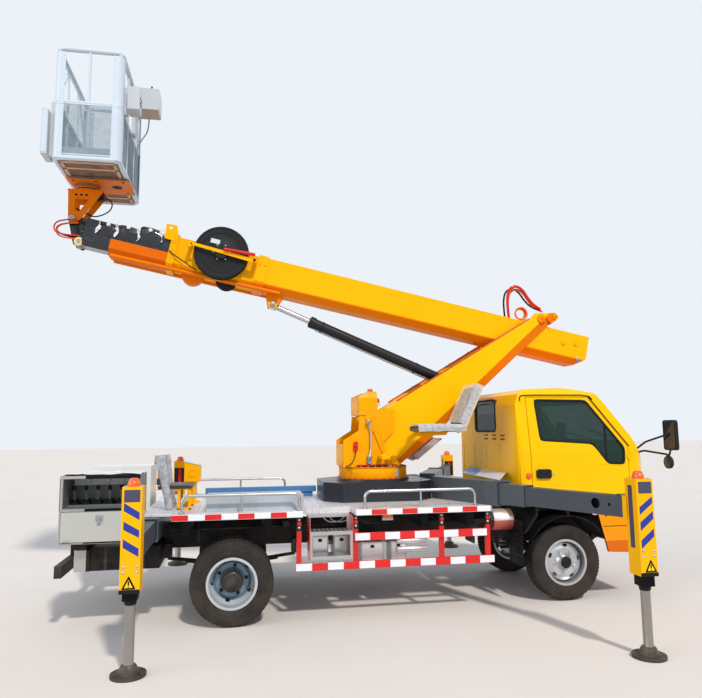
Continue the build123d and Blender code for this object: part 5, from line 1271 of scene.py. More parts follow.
# Upper boom
brace = Build("boom_lip", "upper_boom", orange)
for s in (-1, 1):
    brace.tube([B(1.648, s * 0.146, -0.168), B(1.95, s * 0.145, -0.170), B(2.40, s * 0.140, -0.174),
        B(2.88, s * 0.130, -0.178), B(3.438, s * 0.118, -0.182)], 0.023, 12, 1)
brace.lathe([(0.095, -0.062), (0.118, -0.050), (0.122, 0.0), (0.118, 0.050), (0.095, 0.062)],
    B(2.590, 0, -0.158), Y, 40).done()
Build("boom_sheave", "upper_boom", iron).lathe(
    [(0.030, -0.068), (0.092, -0.060), (0.118, -0.045), (0.118, -0.030), (0.095, -0.012), (0.095, 0.012),
    (0.118, 0.030), (0.118, 0.045), (0.092, 0.060), (0.030, 0.068)], B(2.235, 0, -0.125), Y, 40).done()
pads = Build("wear_pad_bolts", "upper_boom", galvanised)
for s in (-1, 1):
    pads.bolt(B(-1.828, s * 0.175, -0.114), (0, s, 0), 0.016, 0.014)
    pads.lathe([(0.030, 0.0), (0.030, 0.006), (0.026, 0.010), (0.0, 0.010)], P(0.390, s * 0.092, 3.067),
        (0, s, 0), 28)
    pads.bolt(P(0.390, s * 0.102, 3.067), (0, s, 0), 0.014, 0.008)
pads.done()
pads = Build("boom_side_bolts", "upper_boom", upper_paint)
for s in (-1, 1):
    pads.bolts([B(along, s * 0.187, h) for along in (1.862, 1.918) for h in (-0.09, 0.09)], (0, s, 0),
        0.008, 0.005)
    pads.bolts([B(2.837, s * 0.181, h) for h in (-0.06, 0.02, 0.10)], (0, s, 0), 0.007, 0.005)
    for along, h in ((-1.633, 0.037), (-1.781, 0.059)):
        pads.lathe([(0.024, 0.0), (0.024, 0.006), (0.018, 0.010), (0.012, 0.005), (0.0, 0.005)],
            B(along, s * 0.175, h), (0, s, 0), 24)
pads.bolts([B(along, y, 0.182) for along in (1.862, 1.918) for y in (-0.09, 0.09)], BOOM_N,
    height=0.006).done()
ties = Build("boom_plates", "upper_boom", yellow)
for s in (-1, 1):
    ear = rounded([(2.957, 0.276), (2.846, 0.284), (2.806, 0.172), (2.806, 0.110), (2.941, 0.117)], 0.012)
    ties.slab(ear, boom_side(s, 0.171), 0, 0.010, 0.003)
for i in range(4):
    at = -0.9 + 0.75 * i
    loop = rectangle((at - 0.11, at + 0.11), (-0.08, 0.08), 0.02)
    ties.slab(loop, boom_top(0.170), -0.001, 0.005, 0.002)
ties.done()
Build("boom_spots", "upper_boom", white).lathe([(0.016, 0.0), (0.016, 0.004), (0.010, 0.006), (0.0, 0.006)],
    B(2.900, -0.181, 0.236), (0, -1, 0), 20).done()
cover = Build("boom_cover_bolts", "upper_boom", galvanised)
for i in range(4):
    at = -0.9 + 0.75 * i
    cover.bolts([B(at + a, b, 0.175) for a in (-0.09, 0.09) for b in (-0.06, 0.06)], BOOM_N, 0.006, 0.005)
cover.done()

# Hose reel
groove = [(0.279, 0.0), (0.2795, 0.006), (0.274, 0.012), (0.262, 0.012), (0.256, 0.006), (0.223, 0.005),
    (0.218, 0.009), (0.208, 0.009), (0.203, 0.004), (0.120, 0.004), (0.112, 0.006), (0.072, 0.006)]
REEL_X, REEL_Z = -0.157, 3.568
reel = Build("reel_face", "upper_boom", plastic)
for s in (-1, 1):
    reel.lathe(groove, P(REEL_X, -0.249 if s < 0 else -0.186, REEL_Z), (0, s, 0), 64)
reel.done()
coiled = Build("reel_winding", "upper_boom", hose_black)
for side in (-0.011, 0.011):
    coiled.torus(P(REEL_X, -0.2175 + side, REEL_Z), (0.2805, 0.2805), 0.0065, 56, 6)
coiled.done()
Build("reel_bolts", "upper_boom", galvanised).bolts(around(P(REEL_X, -0.264, REEL_Z), 0.083, 6), (0, -1, 0),
    0.006, 0.006).done()
strap = Build("reel_strap", "upper_boom", yellow)
strap.slab(rounded([(1.955, 0.088), (1.985, 0.010), (2.650, 0.066), (2.676, 0.122)], 0.010),
    lambda u, v, t: B(u, -0.292 - t, v * 0.55 + 0.05), 0.0, 0.008, 0.002, both=True)
for along in (1.975, 2.660):
    strap.plate((along - 0.020, along + 0.020), (0.065, 0.105), 0.004, lambda u, v, t: B(u, -0.300 + t, v),
        0.0, 0.125, 0.002)
strap.done()
Build("reel_red_tube", "upper_boom", red).tube([B(2.313, -0.315, 0.118), B(1.986, -0.315, 0.139)], 0.017,
    14).done()
Build("reel_tag", "upper_boom", white).plate((2.372, 2.468), (0.168, 0.216), 0.006, boom_side(-1, 0.2635),
    0.0, 0.0015, 0.0005).done()
hose("reel_lead", "upper_boom", hose_black, [B(2.862, -0.184, -0.004), B(2.82, -0.190, -0.030),
    B(2.78, -0.192, -0.048), B(2.68, -0.194, -0.088), B(2.60, -0.196, -0.122), B(2.540, -0.184, -0.138)],
    0.012)

# Cylinders
def ram_fittings(name, body, base, eye, length, radius, drop):
    """End gland, ports, bands and the pipe that runs along one barrel."""
    a, b = P(base[0], 0, base[1]), P(eye[0], 0, eye[1])
    d = (b - a).normalized()
    up_way = Vector(Y).cross(d)
    up_way = up_way if up_way.z > 0 else -up_way
    gland = Build(name + "_gland", body, plastic)
    gland.lathe([(radius - 0.002, -0.050), (radius + 0.008, -0.046), (radius + 0.008, -0.006),
        (radius + 0.004, 0.0), (radius * 0.72, 0.010), (radius * 0.62, 0.011)], a + d * length, d, 36)
    for t in (0.10, 0.45, length - 0.16):
        gland.lathe([(radius - 0.001, 0.0), (radius + 0.003, 0.002), (radius + 0.003, 0.022),
            (radius - 0.001, 0.024)], a + d * t, d, 36)
    gland.done()
    pipe = Build(name + "_pipe", body, steel)
    side = up_way * (radius + 0.011) * drop
    pipe.tube([a + d * 0.09 + side * 0.8, a + d * 0.12 + side, a + d * (length - 0.10) + side,
        a + d * (length - 0.07) + side * 0.8], 0.007, 10)
    for along in (0.09, length - 0.07):
        pipe.lathe([(0.013, 0.0), (0.013, 0.014), (0.009, 0.018)], a + d * along + side * 0.72, side, 6)
    pipe.done()


ram_fittings("upper_ram", "upper_barrel", (2.413, 2.214), (0.390, 3.067), 1.750, 0.056, -1)
ram_fittings("luff_ram", "luff_barrel", (1.575, 1.440), (2.300, 2.020), 0.800, 0.058, 1)

# Wrapped packets on the inner boom
packs = Build("film_packets", "fly_boom", black_film, 50, slot="wrapped_vinyl")
for s0, s1, top, low in ((2.975, 3.205, 0.214, -0.010), (3.200, 3.432, 0.170, -0.014),
        (3.426, 3.616, 0.158, -0.016)):
    rows = []
    for i in range(17):
        t = i / 16
        puff = sin(pi * t) ** 0.45
        ring = []
        for y, h in dense(rounded([(-0.150, low), (-0.158, top - 0.05), (-0.120, top), (0.120, top),
                (0.158, top - 0.05), (0.150, low)], 0.03, 3), 0.022):
            p = B(s0 + (s1 - s0) * t, y * (0.975 + 0.045 * puff), low + (h - low) * (0.90 + 0.10 * puff))
            ring.append(p + noise.noise_vector(p * 17) * 0.006 + noise.noise_vector(p * 45) * 0.003)
        rows.append(ring)
    packs.skin(rows)
packs.done()
knots = Build("film_knots", "fly_boom", white_film, 60)
for s0, h0 in ((3.10, 0.168), (3.32, 0.140), (3.52, 0.122)):
    knots.lathe([(0.004, -0.004), (0.017, 0.0), (0.021, 0.006), (0.014, 0.012), (0.008, 0.016),
        (0.012, 0.022), (0.0, 0.026)], B(s0, -0.158, h0), (0, -1, 0), 14)
for k, (s0, h0) in enumerate(((2.975, 0.205), (3.205, 0.160), (3.428, 0.145), (3.612, 0.130))):
    rows = []
    for i in range(12):
        t = i / 11
        row = []
        width = 0.006 + 0.016 * sin(pi * min(1, 0.15 + t * 0.9)) + 0.010 * sin(7 * t + k)
        for j in range(8):
            u = j / 7 - 0.5
            p = B(s0 + u * width * 1.5 + 0.012 * sin(5 * t + k), -0.168 - 0.010 * sin(9 * t + 3 * u + k),
                  h0 - 0.135 * t)
            row.append(p + noise.noise_vector(p * 40) * 0.010)
        rows.append(row)
    knots.skin([row + [p + Vector((0, 0.006, 0)) for p in reversed(row)] for row in rows])
knots.done()

# Tip of the inner boom
tip = Build("tip_roller", "fly_boom", surface("nylon", rgb(226, 206, 160), 0.45, vary=0.06, bump=PEEL),
    slot="white_paint")
for s in (-1, 1):
    tip.lathe([(0.047, 0.0), (0.047, 0.012), (0.040, 0.016), (0.022, 0.016), (0.018, 0.010), (0.0, 0.010)],
        P(-1.614, s * 0.076, 3.676), (0, s, 0), 32)
tip.done()
links = Build("tip_links", "fly_boom", black)
for (x0, z0), (x1, z1) in (((-1.656, 3.918), (-1.613, 3.690)), ((-1.656, 3.918), (-1.454, 3.820))):
    for y in (-0.084, 0.084):
        d = Vector((x1 - x0, z1 - z0)).normalized()
        n = Vector((-d.y, d.x)) * 0.016
        loop = [(x0 + n.x, z0 + n.y), (x1 + n.x, z1 + n.y), (x1 - n.x, z1 - n.y), (x0 - n.x, z0 - n.y)]
        links.slab(rounded(loop, 0.012, 3), lambda u, v, t: P(u, y + t - 0.004, v), 0, 0.008, 0.002,
            both=True)
links.lathe([(0.018, -0.096), (0.018, 0.096)], P(-1.454, 0, 3.820), Y, 20).done()
pins = Build("tip_pins", "fly_boom", galvanised)
for s in (-1, 1):
    pins.lathe([(0.034, 0.0), (0.034, 0.005), (0.026, 0.008), (0.012, 0.008), (0.010, 0.005), (0.0, 0.005)],
        P(-1.683, s * 0.110, 3.915), (0, s, 0), 28)
    pins.bolt(P(-1.614, s * 0.092, 3.676), (0, s, 0), 0.009, 0.008)
for k, (x, y, z) in enumerate(((-1.560, -0.088, 3.790), (-1.530, -0.060, 3.742), (-1.570, 0.010, 3.755),
        (-1.520, 0.070, 3.780), (-1.490, -0.080, 3.735), (-1.475, 0.03, 3.730))):
    pins.lathe([(0.012, 0.0), (0.012, 0.014), (0.0095, 0.016), (0.0095, 0.030)], P(x, y, z),
        (-0.8, -0.2, -0.4), 6)
pins.done()
loop_red = [P(-1.640, -0.122, 3.900), P(-1.69, -0.126, 3.893), P(-1.76, -0.130, 3.885),
    P(-1.828, -0.130, 3.862), P(-1.852, -0.130, 3.812), P(-1.838, -0.130, 3.762), P(-1.790, -0.125, 3.742),
    P(-1.70, -0.110, 3.732), P(-1.600, -0.088, 3.735)]
hose("tip_hose_red", "fly_boom", hose_red, loop_red, 0.016)
hose("tip_hose_orange", "fly_boom", hose_orange, [p + Vector((0.022, 0.020, -0.030)) for p in loop_red],
    0.016)
hose("tip_hose_dark", "fly_boom", hose_black, [P(-1.590, -0.060, 3.880), P(-1.66, -0.085, 3.868),
    P(-1.75, -0.095, 3.862), P(-1.820, -0.095, 3.835), P(-1.838, -0.095, 3.790), P(-1.800, -0.095, 3.752),
    P(-1.72, -0.09, 3.726), P(-1.63, -0.080, 3.715), P(-1.560, -0.065, 3.722)], 0.018)
for k, y in enumerate((-0.10, -0.045, 0.045, 0.09)):
    hose("tip_bundle_%d" % k, "fly_boom", hose_black, [P(-1.575, y, 3.800 - 0.01 * k), P(-1.520, y, 3.755),
        P(-1.468, y, 3.700), P(-1.400, y * 1.05, 3.668 + 0.008 * k), P(-1.320, y, 3.672)], 0.020)

# Tip bracket and swing drive
# Dark plates stand for the slots: painted shade inside the openings.
slots = Build("tip_slots", "tip_bracket", rubber, slot="plastic")
for s in (-1, 1):
    for i in range(3):
        x = -1.655 + 0.052 * i
        slots.plate((x - 0.015, x + 0.015), (4.163, 4.183), 0.008, side_at(s, 0.100), -0.001, 0.0022,
            0.0006)
slots.done()
drive = Build("swing_drive", "tip_bracket", surface("drive_brown", rgb(40, 24, 14), 0.5, vary=0.1,
    bump=PEEL), slot="black_paint")
drive.lathe([(0.129, 0.0), (0.1315, 0.003), (0.1315, 0.013), (0.126, 0.016), (0.126, 0.022),
    (0.1315, 0.025), (0.129, 0.030)], P(-1.560, 0, 4.236), Z, 56)
drive.box((-1.475, -1.385), (-0.085, 0.085), (4.176, 4.2145), 0.008)
drive.lathe([(0.042, 0.0), (0.042, 0.020), (0.036, 0.026), (0.0, 0.028)], P(-1.43, 0, 4.176), (0, 0, -1),
    28).done()
rim = Build("tip_weld", "tip_bracket", orange)
for s in (-1, 1):
    rim.ring_frame(rounded([(-1.660, 4.130), (-1.665, 4.000), (-1.620, 3.990), (-1.530, 4.130)], 0.012),
        side_at(s, 0.0995), 0.012, 0.0, 0.004)
    rim.bolts([P(x, s * 0.100, 4.200) for x in (-1.70, -1.60, -1.50, -1.42)], (0, s, 0), 0.007, 0.006)
rim.done()

# Basket
STRAND = (0.0042, 0.0012)


def mesh_panel(build, u_range, v_range, place, cell=(0.033, 0.025)):
    """Expanded metal: zigzag strands that meet at the diamonds' points."""
    nu, nv = (round((high - low) / c) for (low, high), c in zip((u_range, v_range), cell))
    du, dv = (u_range[1] - u_range[0]) / nu, (v_range[1] - v_range[0]) / nv
    w, h = STRAND
    section = ((-w, -h), (w, -h), (w, h), (-w, h))
    for j in range(nv):
        for way in (0, 1):
            strand = []
            for i in range(2 * nu + 1):
                u, v = u_range[0] + i * du / 2, v_range[0] + (j + (i + way) % 2) * dv
                strand.append([place(u, v + off, t) for off, t in section])
            build.skin(strand)


grid = Build("basket_mesh", "basket", mesh_grey, 30)
for s in (-1, 1):
    mesh_panel(grid, (-1.700, -1.201), (4.392, 4.905), side_at(s, 0.624))
for x in (BASKET_X - 0.306, BASKET_X + 0.306):
    mesh_panel(grid, (-0.560, 0.560), (4.392, 4.905), on_x(x), (0.0266, 0.0205))
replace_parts(grid.done(), "basket_panels")
edges = Build("mesh_edges", "basket", white)
for s in (-1, 1):
    edges.ring_frame(rectangle((-1.706, -1.195), (4.386, 4.911), 0.01), side_at(s, 0.622), 0.004, 0.012,
        0.005)
for s, x in ((-1, -1.7585), (1, -1.1425)):
    edges.ring_frame(rectangle((-0.566, 0.566), (4.386, 4.911), 0.01), on_x(x, s), 0.004, 0.012, 0.005)
edges.done()
CORNER_X, CORNER_Y = 0.3215, 0.634
sheets = Build("basket_corners", "basket", white)
for sx in (-1, 1):
    for sy in (-1, 1):
        cx, cy = BASKET_X + sx * CORNER_X, sy * CORNER_Y
        line = [(cx - sx * 0.098, cy)]
        for k in range(9):
            a = pi / 2 * k / 8
            line.append((cx - sx * 0.066 + sx * 0.066 * sin(a), cy - sy * 0.066 + sy * 0.066 * cos(a)))
        line.append((cx, cy - sy * 0.098))
        inner_line = []
        for k, (x, y) in enumerate(line):
            a = line[max(0, k - 1)]
            b = line[min(len(line) - 1, k + 1)]
            n = Vector((b[1] - a[1], a[0] - b[0])).normalized()
            to_mid = Vector((BASKET_X - x, -y))
            n = n if n.dot(to_mid) > 0 else -n
            inner_line.append((x + n.x * 0.003, y + n.y * 0.003))
        loop = line + inner_line[::-1]
        for z0, z1 in ((4.350, 4.895), (4.895, 5.440)):
            sheets.slab(loop, on_z(0), z0, z1 - 0.002)
sheets.done()
rivets = Build("basket_rivets", "basket", white)
for sx in (-1, 1):
    for sy in (-1, 1):
        for z in (4.40, 4.60, 4.80, 5.00, 5.20, 5.40):
            for dx, dy, axis in ((0.085, 0, (0, sy, 0)), (0, 0.085, (sx, 0, 0))):
                rivets.lathe([(0.006, 0.0), (0.005, 0.003), (0.0, 0.004)],
                    P(BASKET_X + sx * (CORNER_X - dx), sy * (CORNER_Y - dy), z), axis, 10)
rivets.done()
toes = Build("toe_boards", "basket", white)
for s in (-1, 1):
    toes.plate((-1.69, -1.21), (4.362, 4.470), 0.004, side_at(s, 0.606), 0, 0.002)
    toes.plate((-0.555, 0.555), (4.362, 4.470), 0.004, on_x(BASKET_X + s * 0.296, s), 0, 0.002)
toes.done()
tread = Build("floor_tread", "basket", aluminium)
for i in range(9):
    for j in range(18):
        x, y = -1.705 + 0.0635 * i, -0.552 + 0.065 * j
        a = radians(45 if (i + j) % 2 else -45)
        loop = []
        for k in range(4):
            t, reach = a + pi / 2 * k, 0.006 if k % 2 else 0.020
            loop.append((x + reach * cos(t), y + reach * sin(t)))
        tread.slab(loop, on_z(0), 4.3602, 4.3625)
tread.done()
under = Build("floor_ribs", "basket", surface("rib_tan", rgb(206, 168, 136), 0.5, vary=0.14, bump=PEEL),
    slot="yellow_paint")
for y in (-0.555, -0.40, 0.0, 0.40, 0.555):
    under.box((-1.715, -1.185), (y - 0.018, y + 0.018), (4.3312, 4.3385), 0.002)
for x in (-1.700, -1.200):
    under.box((x - 0.016, x + 0.016), (-0.56, 0.56), (4.3312, 4.3385), 0.002)
under.done()
Build("basket_seat_plate", "basket", orange).slab(
    rounded([(-1.744, -0.207), (-1.120, -0.207), (-1.108, 0.0), (-1.120, 0.207), (-1.70, 0.207)], 0.03),
    on_z(0), 4.3306, 4.3046, 0.002).done()
# A dark disc stands for the hole in the seat plate: painted shade.
hole = Build("basket_plate_hole", "basket", rubber, slot="plastic")
hole.lathe([(0.052, 0.0), (0.052, 0.0008), (0.046, 0.0016), (0.0, 0.0016)], P(-1.263, -0.012, 4.3050),
    (0, 0, -1), 32)
hole.bolts([P(x, y, 4.3050) for x in (-1.68, -1.45, -1.18) for y in (-0.16, 0.16)], (0, 0, -1),
    height=0.006).done()
gate = Build("basket_gate", "basket", galvanised)
gate.box((-1.790, -1.768), (-0.245, -0.205), (4.965, 5.02), 0.004)
gate.tube([P(-1.785, -0.225, 5.02), P(-1.785, -0.225, 5.06), P(-1.785, -0.19, 5.075)], 0.005, 8, 1)
for z in (4.52, 4.80):
    gate.lathe([(0.011, 0.0), (0.011, 0.05)], P(-1.780, 0.232, z), Z, 16)
gate.done()

# Basket controls
desk = Build("console_face", "basket", white)
desk.plate((-1.090, -0.858), (-0.112, 0.112), 0.012, on_z(5.400), -0.001, 0.004, 0.003)
desk.plate((-0.110, 0.110), (5.185, 5.375), 0.012, on_x(-0.8505), -0.001, 0.004, 0.003)
desk.plate((-0.550, -0.390), (4.945, 5.155), 0.012, on_x(-0.9855), -0.001, 0.004, 0.003)
desk.plate((-1.874, -1.826), (4.405, 4.835), 0.012, side_at(-1, 0.600), -0.001, 0.003, 0.002).done()
# The tan plate under the console is painted shade on the white box's underside.
Build("console_base", "basket", surface("console_tan", rgb(186, 168, 150), 0.5, vary=0.08, bump=PEEL),
    slot="white_paint").plate((-1.088, -0.860), (-0.110, 0.110), 0.012, on_z(5.160, -1), -0.001, 0.006,
    0.003).done()
sticks = Build("console_levers", "basket", plastic)
for i in range(4):
    y = -0.080 + 0.053 * i
    sticks.lathe([(0.017, 0.0), (0.014, 0.006), (0.016, 0.009), (0.010, 0.016), (0.006, 0.020),
        (0.008, 0.026), (0.010, 0.034), (0.006, 0.040), (0.0, 0.041)], P(-0.935, y, 5.403), (0.12, 0, 1),
        16)
sticks.plate((-1.070, -1.010), (-0.09, 0.01), 0.006, on_z(5.403), 0, 0.003, 0.001)
for y in (-0.51, -0.47, -0.43):
    for z in (5.02, 5.07):
        sticks.lathe([(0.009, 0.0), (0.009, 0.004), (0.006, 0.007), (0.0, 0.007)], P(-0.982, y, z), X, 14)
sticks.done()
Build("console_stop", "basket", red).lathe(
    [(0.012, 0.0), (0.012, 0.012), (0.021, 0.014), (0.022, 0.024), (0.016, 0.029), (0.0, 0.030)],
    P(-1.035, 0.065, 5.403), Z, 24).done()
hose("console_lead", "basket", lead_grey, [P(-0.97, 0.06, 5.158), P(-0.97, 0.06, 5.10),
    P(-0.985, 0.07, 4.98), P(-1.050, 0.09, 4.90), P(-1.095, 0.10, 4.80), P(-1.105, 0.10, 4.65),
    P(-1.105, 0.10, 4.50), P(-1.110, 0.09, 4.39), P(-1.145, 0.08, 4.345)], 0.014)
hose("swing_lead", "tip_bracket", hose_black, [P(-1.385, 0.05, 4.195), P(-1.350, 0.05, 4.190),
    P(-1.318, 0.052, 4.14), P(-1.335, 0.055, 4.07), P(-1.42, 0.055, 4.01), P(-1.52, 0.050, 3.985),
    P(-1.575, 0.060, 4.03), P(-1.69, 0.076, 4.08)], 0.014)

# Rear control boxes, tank bands, boom rest and rear lamps
box_edge = Build("rear_box_frame", "chassis", silver)
place = side_at(-1, 0.950)
box_edge.ring_frame(rectangle((-1.442, -0.828), (1.058, 1.312), 0.006), place, 0.016, 0.0, 0.006)
box_edge.ring_frame(rectangle((-1.455, -0.815), (0.775, 1.035), 0.006), place, 0.010, 0.0, 0.009)
box_edge.plate((-1.470, -0.802), (1.313, 1.338), 0.002, place, -0.001, 0.008, 0.002)
box_edge.plate((-1.46, -1.452), (0.77, 1.33), 0.002, place, -0.001, 0.006, 0.002).done()
latch = Build("rear_box_latch", "chassis", galvanised)
latch.plate((-1.165, -1.105), (0.955, 1.000), 0.008, side_at(-1, 0.958), 0, 0.008, 0.003)
latch.plate((-1.150, -1.120), (0.925, 0.985), 0.006, side_at(-1, 0.966), 0, 0.007, 0.003)
for x in (-1.40, -0.87):
    latch.lathe([(0.009, 0.0), (0.009, 0.055)], P(x - 0.0275, -0.962, 0.785), X, 14)
latch.done()
knobs = Build("bay_levers", "chassis", plastic)
gauges = Build("bay_panel", "chassis", grey_white)
for i in range(6):
    x = -1.400 + 0.100 * i
    knobs.lathe([(0.024, -0.004), (0.018, 0.012), (0.012, 0.020)], P(x, -0.702, 1.070), (0.05, -0.37, 0.93),
        16)
    knobs.lathe([(0.0105, -0.010), (0.017, 0.0), (0.019, 0.014), (0.014, 0.028), (0.0, 0.032)],
        P(x + 0.008, -0.760, 1.210), (0.05, -0.37, 0.93), 20)
    knobs.box((x - 0.034, x + 0.034), (-0.735, -0.655), (1.060, 1.112), 0.006)
knobs.done()
gauges.plate((-1.42, -0.85), (1.235, 1.300), 0.006, side_at(-1, 0.645), 0, 0.012, 0.003)
for i in range(3):
    gauges.lathe([(0.026, 0.0), (0.026, 0.012), (0.022, 0.016), (0.020, 0.012), (0.0, 0.012)],
        P(-1.30 + 0.17 * i, -0.657, 1.268), (0, -1, 0), 28)
gauges.done()
rows = []
for i in range(20):
    u = i / 19
    rows.append(
        [P(-1.464 + 0.655 * u, -0.944 + 0.378 * j / 15,
        1.341 + 0.006 * sin(u * 9 + j * 0.8) + (0.010 if 4 < i < 16 else 0.004)) for j in range(16)])
wrap("rear_box_film", "chassis", white_film, rows, 0.003, 0.006, slot="white_paint")
WRAPPED = (0.300, 0.245, 0.290)
wrapped = Build("wrapped_box", "chassis", white_film, 60)
points, quads = lattice((16, 12, 10))
cloud = []
for a, b, c in points:
    p = softened(Vector((a * WRAPPED[0], b * WRAPPED[1], c * WRAPPED[2])), WRAPPED, 0.03)
    p += noise.noise_vector(p * 9) * 0.008 + noise.noise_vector(p * 27) * 0.004
    cloud.append(P(-1.185 + p.x, 0.600 + p.y, 1.0525 + p.z))
wrapped.put([Vector((v.x, v.y, min(v.z, 1.3449))) for v in cloud], quads)
wrapped.done()
tank = Build("tank_bands", "chassis", black)
for x in (-1.10, -0.78):
    for s in (-1, 1):
        tank.plate((x - 0.014, x + 0.014), (0.505, 0.700), 0.003, side_at(s, 0.80), -0.001, 0.003, 0.001)
tank.done()
Build("boom_rest_pad", "chassis", white).slab(
    [(-0.500, 1.402), (-0.335, 1.362), (-0.335, 1.372), (-0.500, 1.412)], side_at(1, 0), -0.094, 0.094,
    0.002, both=True).done()
rest = Build("boom_rest_trim", "chassis", yellow)
for s in (-1, 1):
    rest.lathe([(0.042, 0.0), (0.042, 0.005), (0.029, 0.006), (0.028, 0.001)], P(-0.418, s * 0.090, 1.290),
        (0, s, 0), 28)
    rest.slab([(-0.492, 0.986), (-0.343, 0.986), (-0.343, 0.996), (-0.492, 0.996)], side_at(s, 0.05), 0,
        0.035, 0.002)
rest.done()
tail = Build("rear_lamps", "chassis", lamp_red)
holder = Build("rear_lamp_boxes", "chassis", plastic)
for s in (-1, 1):
    place = on_x(-1.470, -1, s)
    holder.plate((0.585, 0.745), (0.775, 0.865), 0.008, place, -0.001, 0.010, 0.003)
    tail.plate((0.594, 0.660), (0.784, 0.856), 0.006, on_x(-1.480, -1, s), 0, 0.008, 0.003)
    tail.plate((0.668, 0.736), (0.784, 0.856), 0.006, on_x(-1.480, -1, s), 0, 0.008, 0.003)
finish(tail, holder)

# Deck
pipe = Build("silver_pipes", "chassis", aluminium)
for k, (z, y) in enumerate(((0.640, 0.905), (0.585, 0.915))):
    for s in (-1, 1):
        pipe.lathe([(0.0, -0.002), (0.026, 0.0), (0.028, 0.004), (0.028, 0.30), (0.026, 0.304),
            (0.0, 0.306)], P(1.56, s * (y - 0.19), z - 0.02 * k), X, 28)
pipe.done()
doors = Build("storage_doors", "chassis", aluminium)
knob = Build("storage_latches", "chassis", plastic)
for s in (-1, 1):
    for x0, x1, z0, z1 in ((0.739, 0.896, 0.505, 0.715), (0.946, 1.102, 0.505, 0.715),
            (1.211, 1.435, 0.450, 0.640), (1.503, 1.659, 0.450, 0.640)):
        doors.plate((x0 + 0.010, x1 - 0.010), (z0 + 0.010, z1 - 0.010), 0.006, side_at(s, 0.700), -0.001,
            0.006, 0.003)
        knob.slab(rectangle(((x0 + x1) / 2 - 0.018, (x0 + x1) / 2 + 0.018), (z1 - 0.055, z1 - 0.028),
            0.005), side_at(s, 0.706), 0, 0.009, 0.003)
finish(doors, knob)
# Dark discs stand for the step's holes: painted shade inside them.
holes = Build("step_holes", "chassis", rubber, slot="plastic")
for s in (-1, 1):
    for i in range(9):
        for j in range(4):
            holes.lathe([(0.011, 0.0), (0.011, 0.0012), (0.007, 0.0020), (0.0, 0.0008)],
                P(0.728 + 0.040 * i, s * (0.80 + 0.045 * j), 0.7932), Z, 12)
holes.done()
studs = Build("deck_bolts", "chassis", galvanised)
for s in (-1, 1):
    for x0, x1 in ((-0.445, 0.600), (1.208, 2.285)):
        for x in (x0, x1):
            studs.lathe([(0.030, 0.0), (0.030, 0.005), (0.018, 0.008), (0.0145, 0.020)],
                P(x, s * 0.95, DECK_TOP), Z, 24)
    for i in range(10):
        studs.bolt(P(-0.45 + 0.315 * i, s * 0.80, DECK_TOP), Z, 0.007, 0.006)
studs.bolts(around(P(MAST_X, 0, 1.2018), 0.378, 32, flat=True), Z, 0.007).done()
PALE = ("dir", (-0.8688, 0.4953, 0), -2.75, -2.3725)
Build("side_sheet", "chassis", surface("sheet_blue", rgb(70, 160, 244), 0.3, coat=0.2, vary=0.1, scale=9,
    bump=PEEL, layers=(((PALE,), rgb(190, 208, 228), 0.3, None), ((("stripe", (-0.8688, 0.4953, 0), 0.034,
    0.35, 0.2), PALE), rgb(240, 240, 246), 0.3, None)),), slot="white_paint").slab(
    [(2.520, 0.06), (2.520, -1.00), (2.772, -0.578), (2.772, 0.50)],
    lambda u, v, t: P(u, v, 1.2165 + (u - 2.52) * 0.16 + t), 0, 0.005, 0.002, both=True).done()
Build("deck_strip", "chassis", blue_panel, slot="white_paint").box((-0.30, 0.62), (0.842, 0.872),
    (1.000, 1.030), 0.006).done()
ends = Build("hook_and_chain", "chassis", iron)
for k in range(7):
    ways = (X, Y) if k % 2 else (Y, X)
    ends.torus(P(-0.30, -0.90, 0.900 - 0.026 * k), (0.010, 0.018), 0.003, 16, 6, *ways)
ends.done()
for k, x in enumerate((0.70, 0.76)):
    hose("deck_lead_%d" % k, "chassis", surface("lead_white_%d" % k, rgb(214, 216, 220), 0.4, vary=0.05),
        [P(x + dx, -0.70, z) for dx, z in ((0.14, 0.925), (0.15, 0.88), (0.19, 0.845), (0.27, 0.835),
        (0.34, 0.86), (0.37, 0.925))], 0.010)

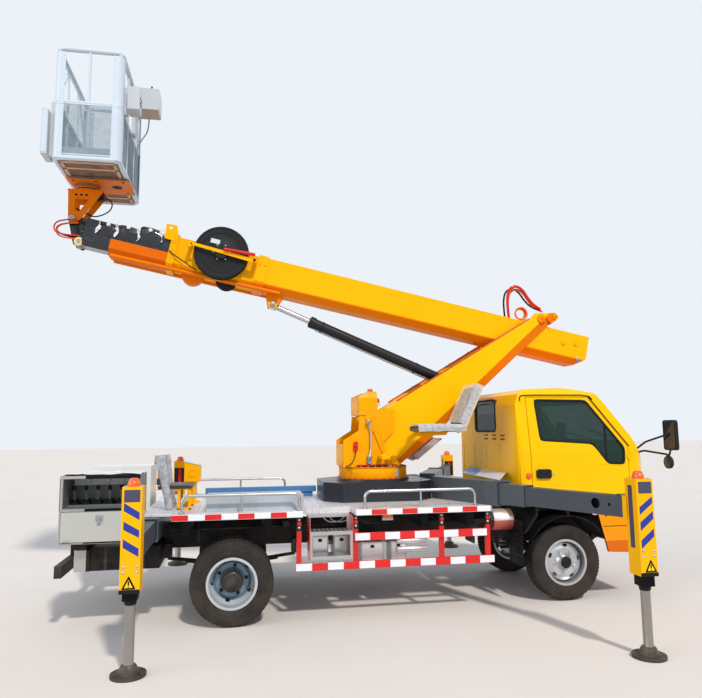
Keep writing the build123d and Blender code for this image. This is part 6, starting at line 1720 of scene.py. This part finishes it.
# Floor, lights and world
floor_mesh = bpy.data.meshes.new("floor")
floor_mesh.from_pydata([(-60, -60, 0), (60, -60, 0), (60, 60, 0), (-60, 60, 0)], [], [(0, 1, 2, 3)])
floor = bpy.data.objects.new("floor", floor_mesh)
floor.location.z = -0.001
link(floor)
floor_mesh.materials.append(surface("floor_pale", rgb(226, 218, 210), 0.9, vary=0.02, scale=0.8,
                                    bump=(("noise", 60, 0.0008),)))


def lamp(name, kind, strength, color, at, aim, size=1.0):
    data = bpy.data.lights.new(name, kind)
    data.energy = strength
    data.color = color
    if kind == "AREA":
        data.size = size
    else:
        data.angle = size
    obj = bpy.data.objects.new(name, data)
    obj.location = at
    obj.rotation_euler = (Vector(aim) - Vector(at)).to_track_quat("-Z", "Y").to_euler()
    link(obj)


lamp("sun", "SUN", 2.3, (1.0, 0.965, 0.91), (2.6, -9.0, 10.5), Z, radians(4))
lamp("fill", "SUN", 0.9, (1.0, 0.95, 0.88), (-9.0, -3.0, 5.0), Z, radians(40))

world = bpy.data.worlds.new("world")
world.use_nodes = True
bpy.context.scene.world = world
tree = world.node_tree
tree.nodes.clear()


def world_node(kind, *sources, operation=None):
    """A node of the world's tree with its inputs fed in order."""
    made = tree.nodes.new(kind)
    if operation:
        made.operation = operation
    for socket, source in zip(made.inputs, sources):
        if isinstance(source, bpy.types.NodeSocket):
            tree.links.new(source, socket)
        else:
            socket.default_value = source
    return made.outputs[0] if made.outputs else None


ray = tree.nodes.new("ShaderNodeLightPath").outputs
through = world_node("ShaderNodeMath", ray["Is Camera Ray"], ray["Is Transmission Ray"],
    operation="MAXIMUM")
plain = world_node("ShaderNodeMath", through, ray["Is Glossy Ray"], operation="MAXIMUM")
sky = world_node("ShaderNodeBackground", (0.72, 0.83, 1.0, 1), 0.62)
backdrop = world_node("ShaderNodeBackground", (*rgb(236, 242, 248), 1), 1.0)
world_node("ShaderNodeOutputWorld", world_node("ShaderNodeMixShader", plain, sky, backdrop))
bpy.context.scene.view_settings.view_transform = "Standard"
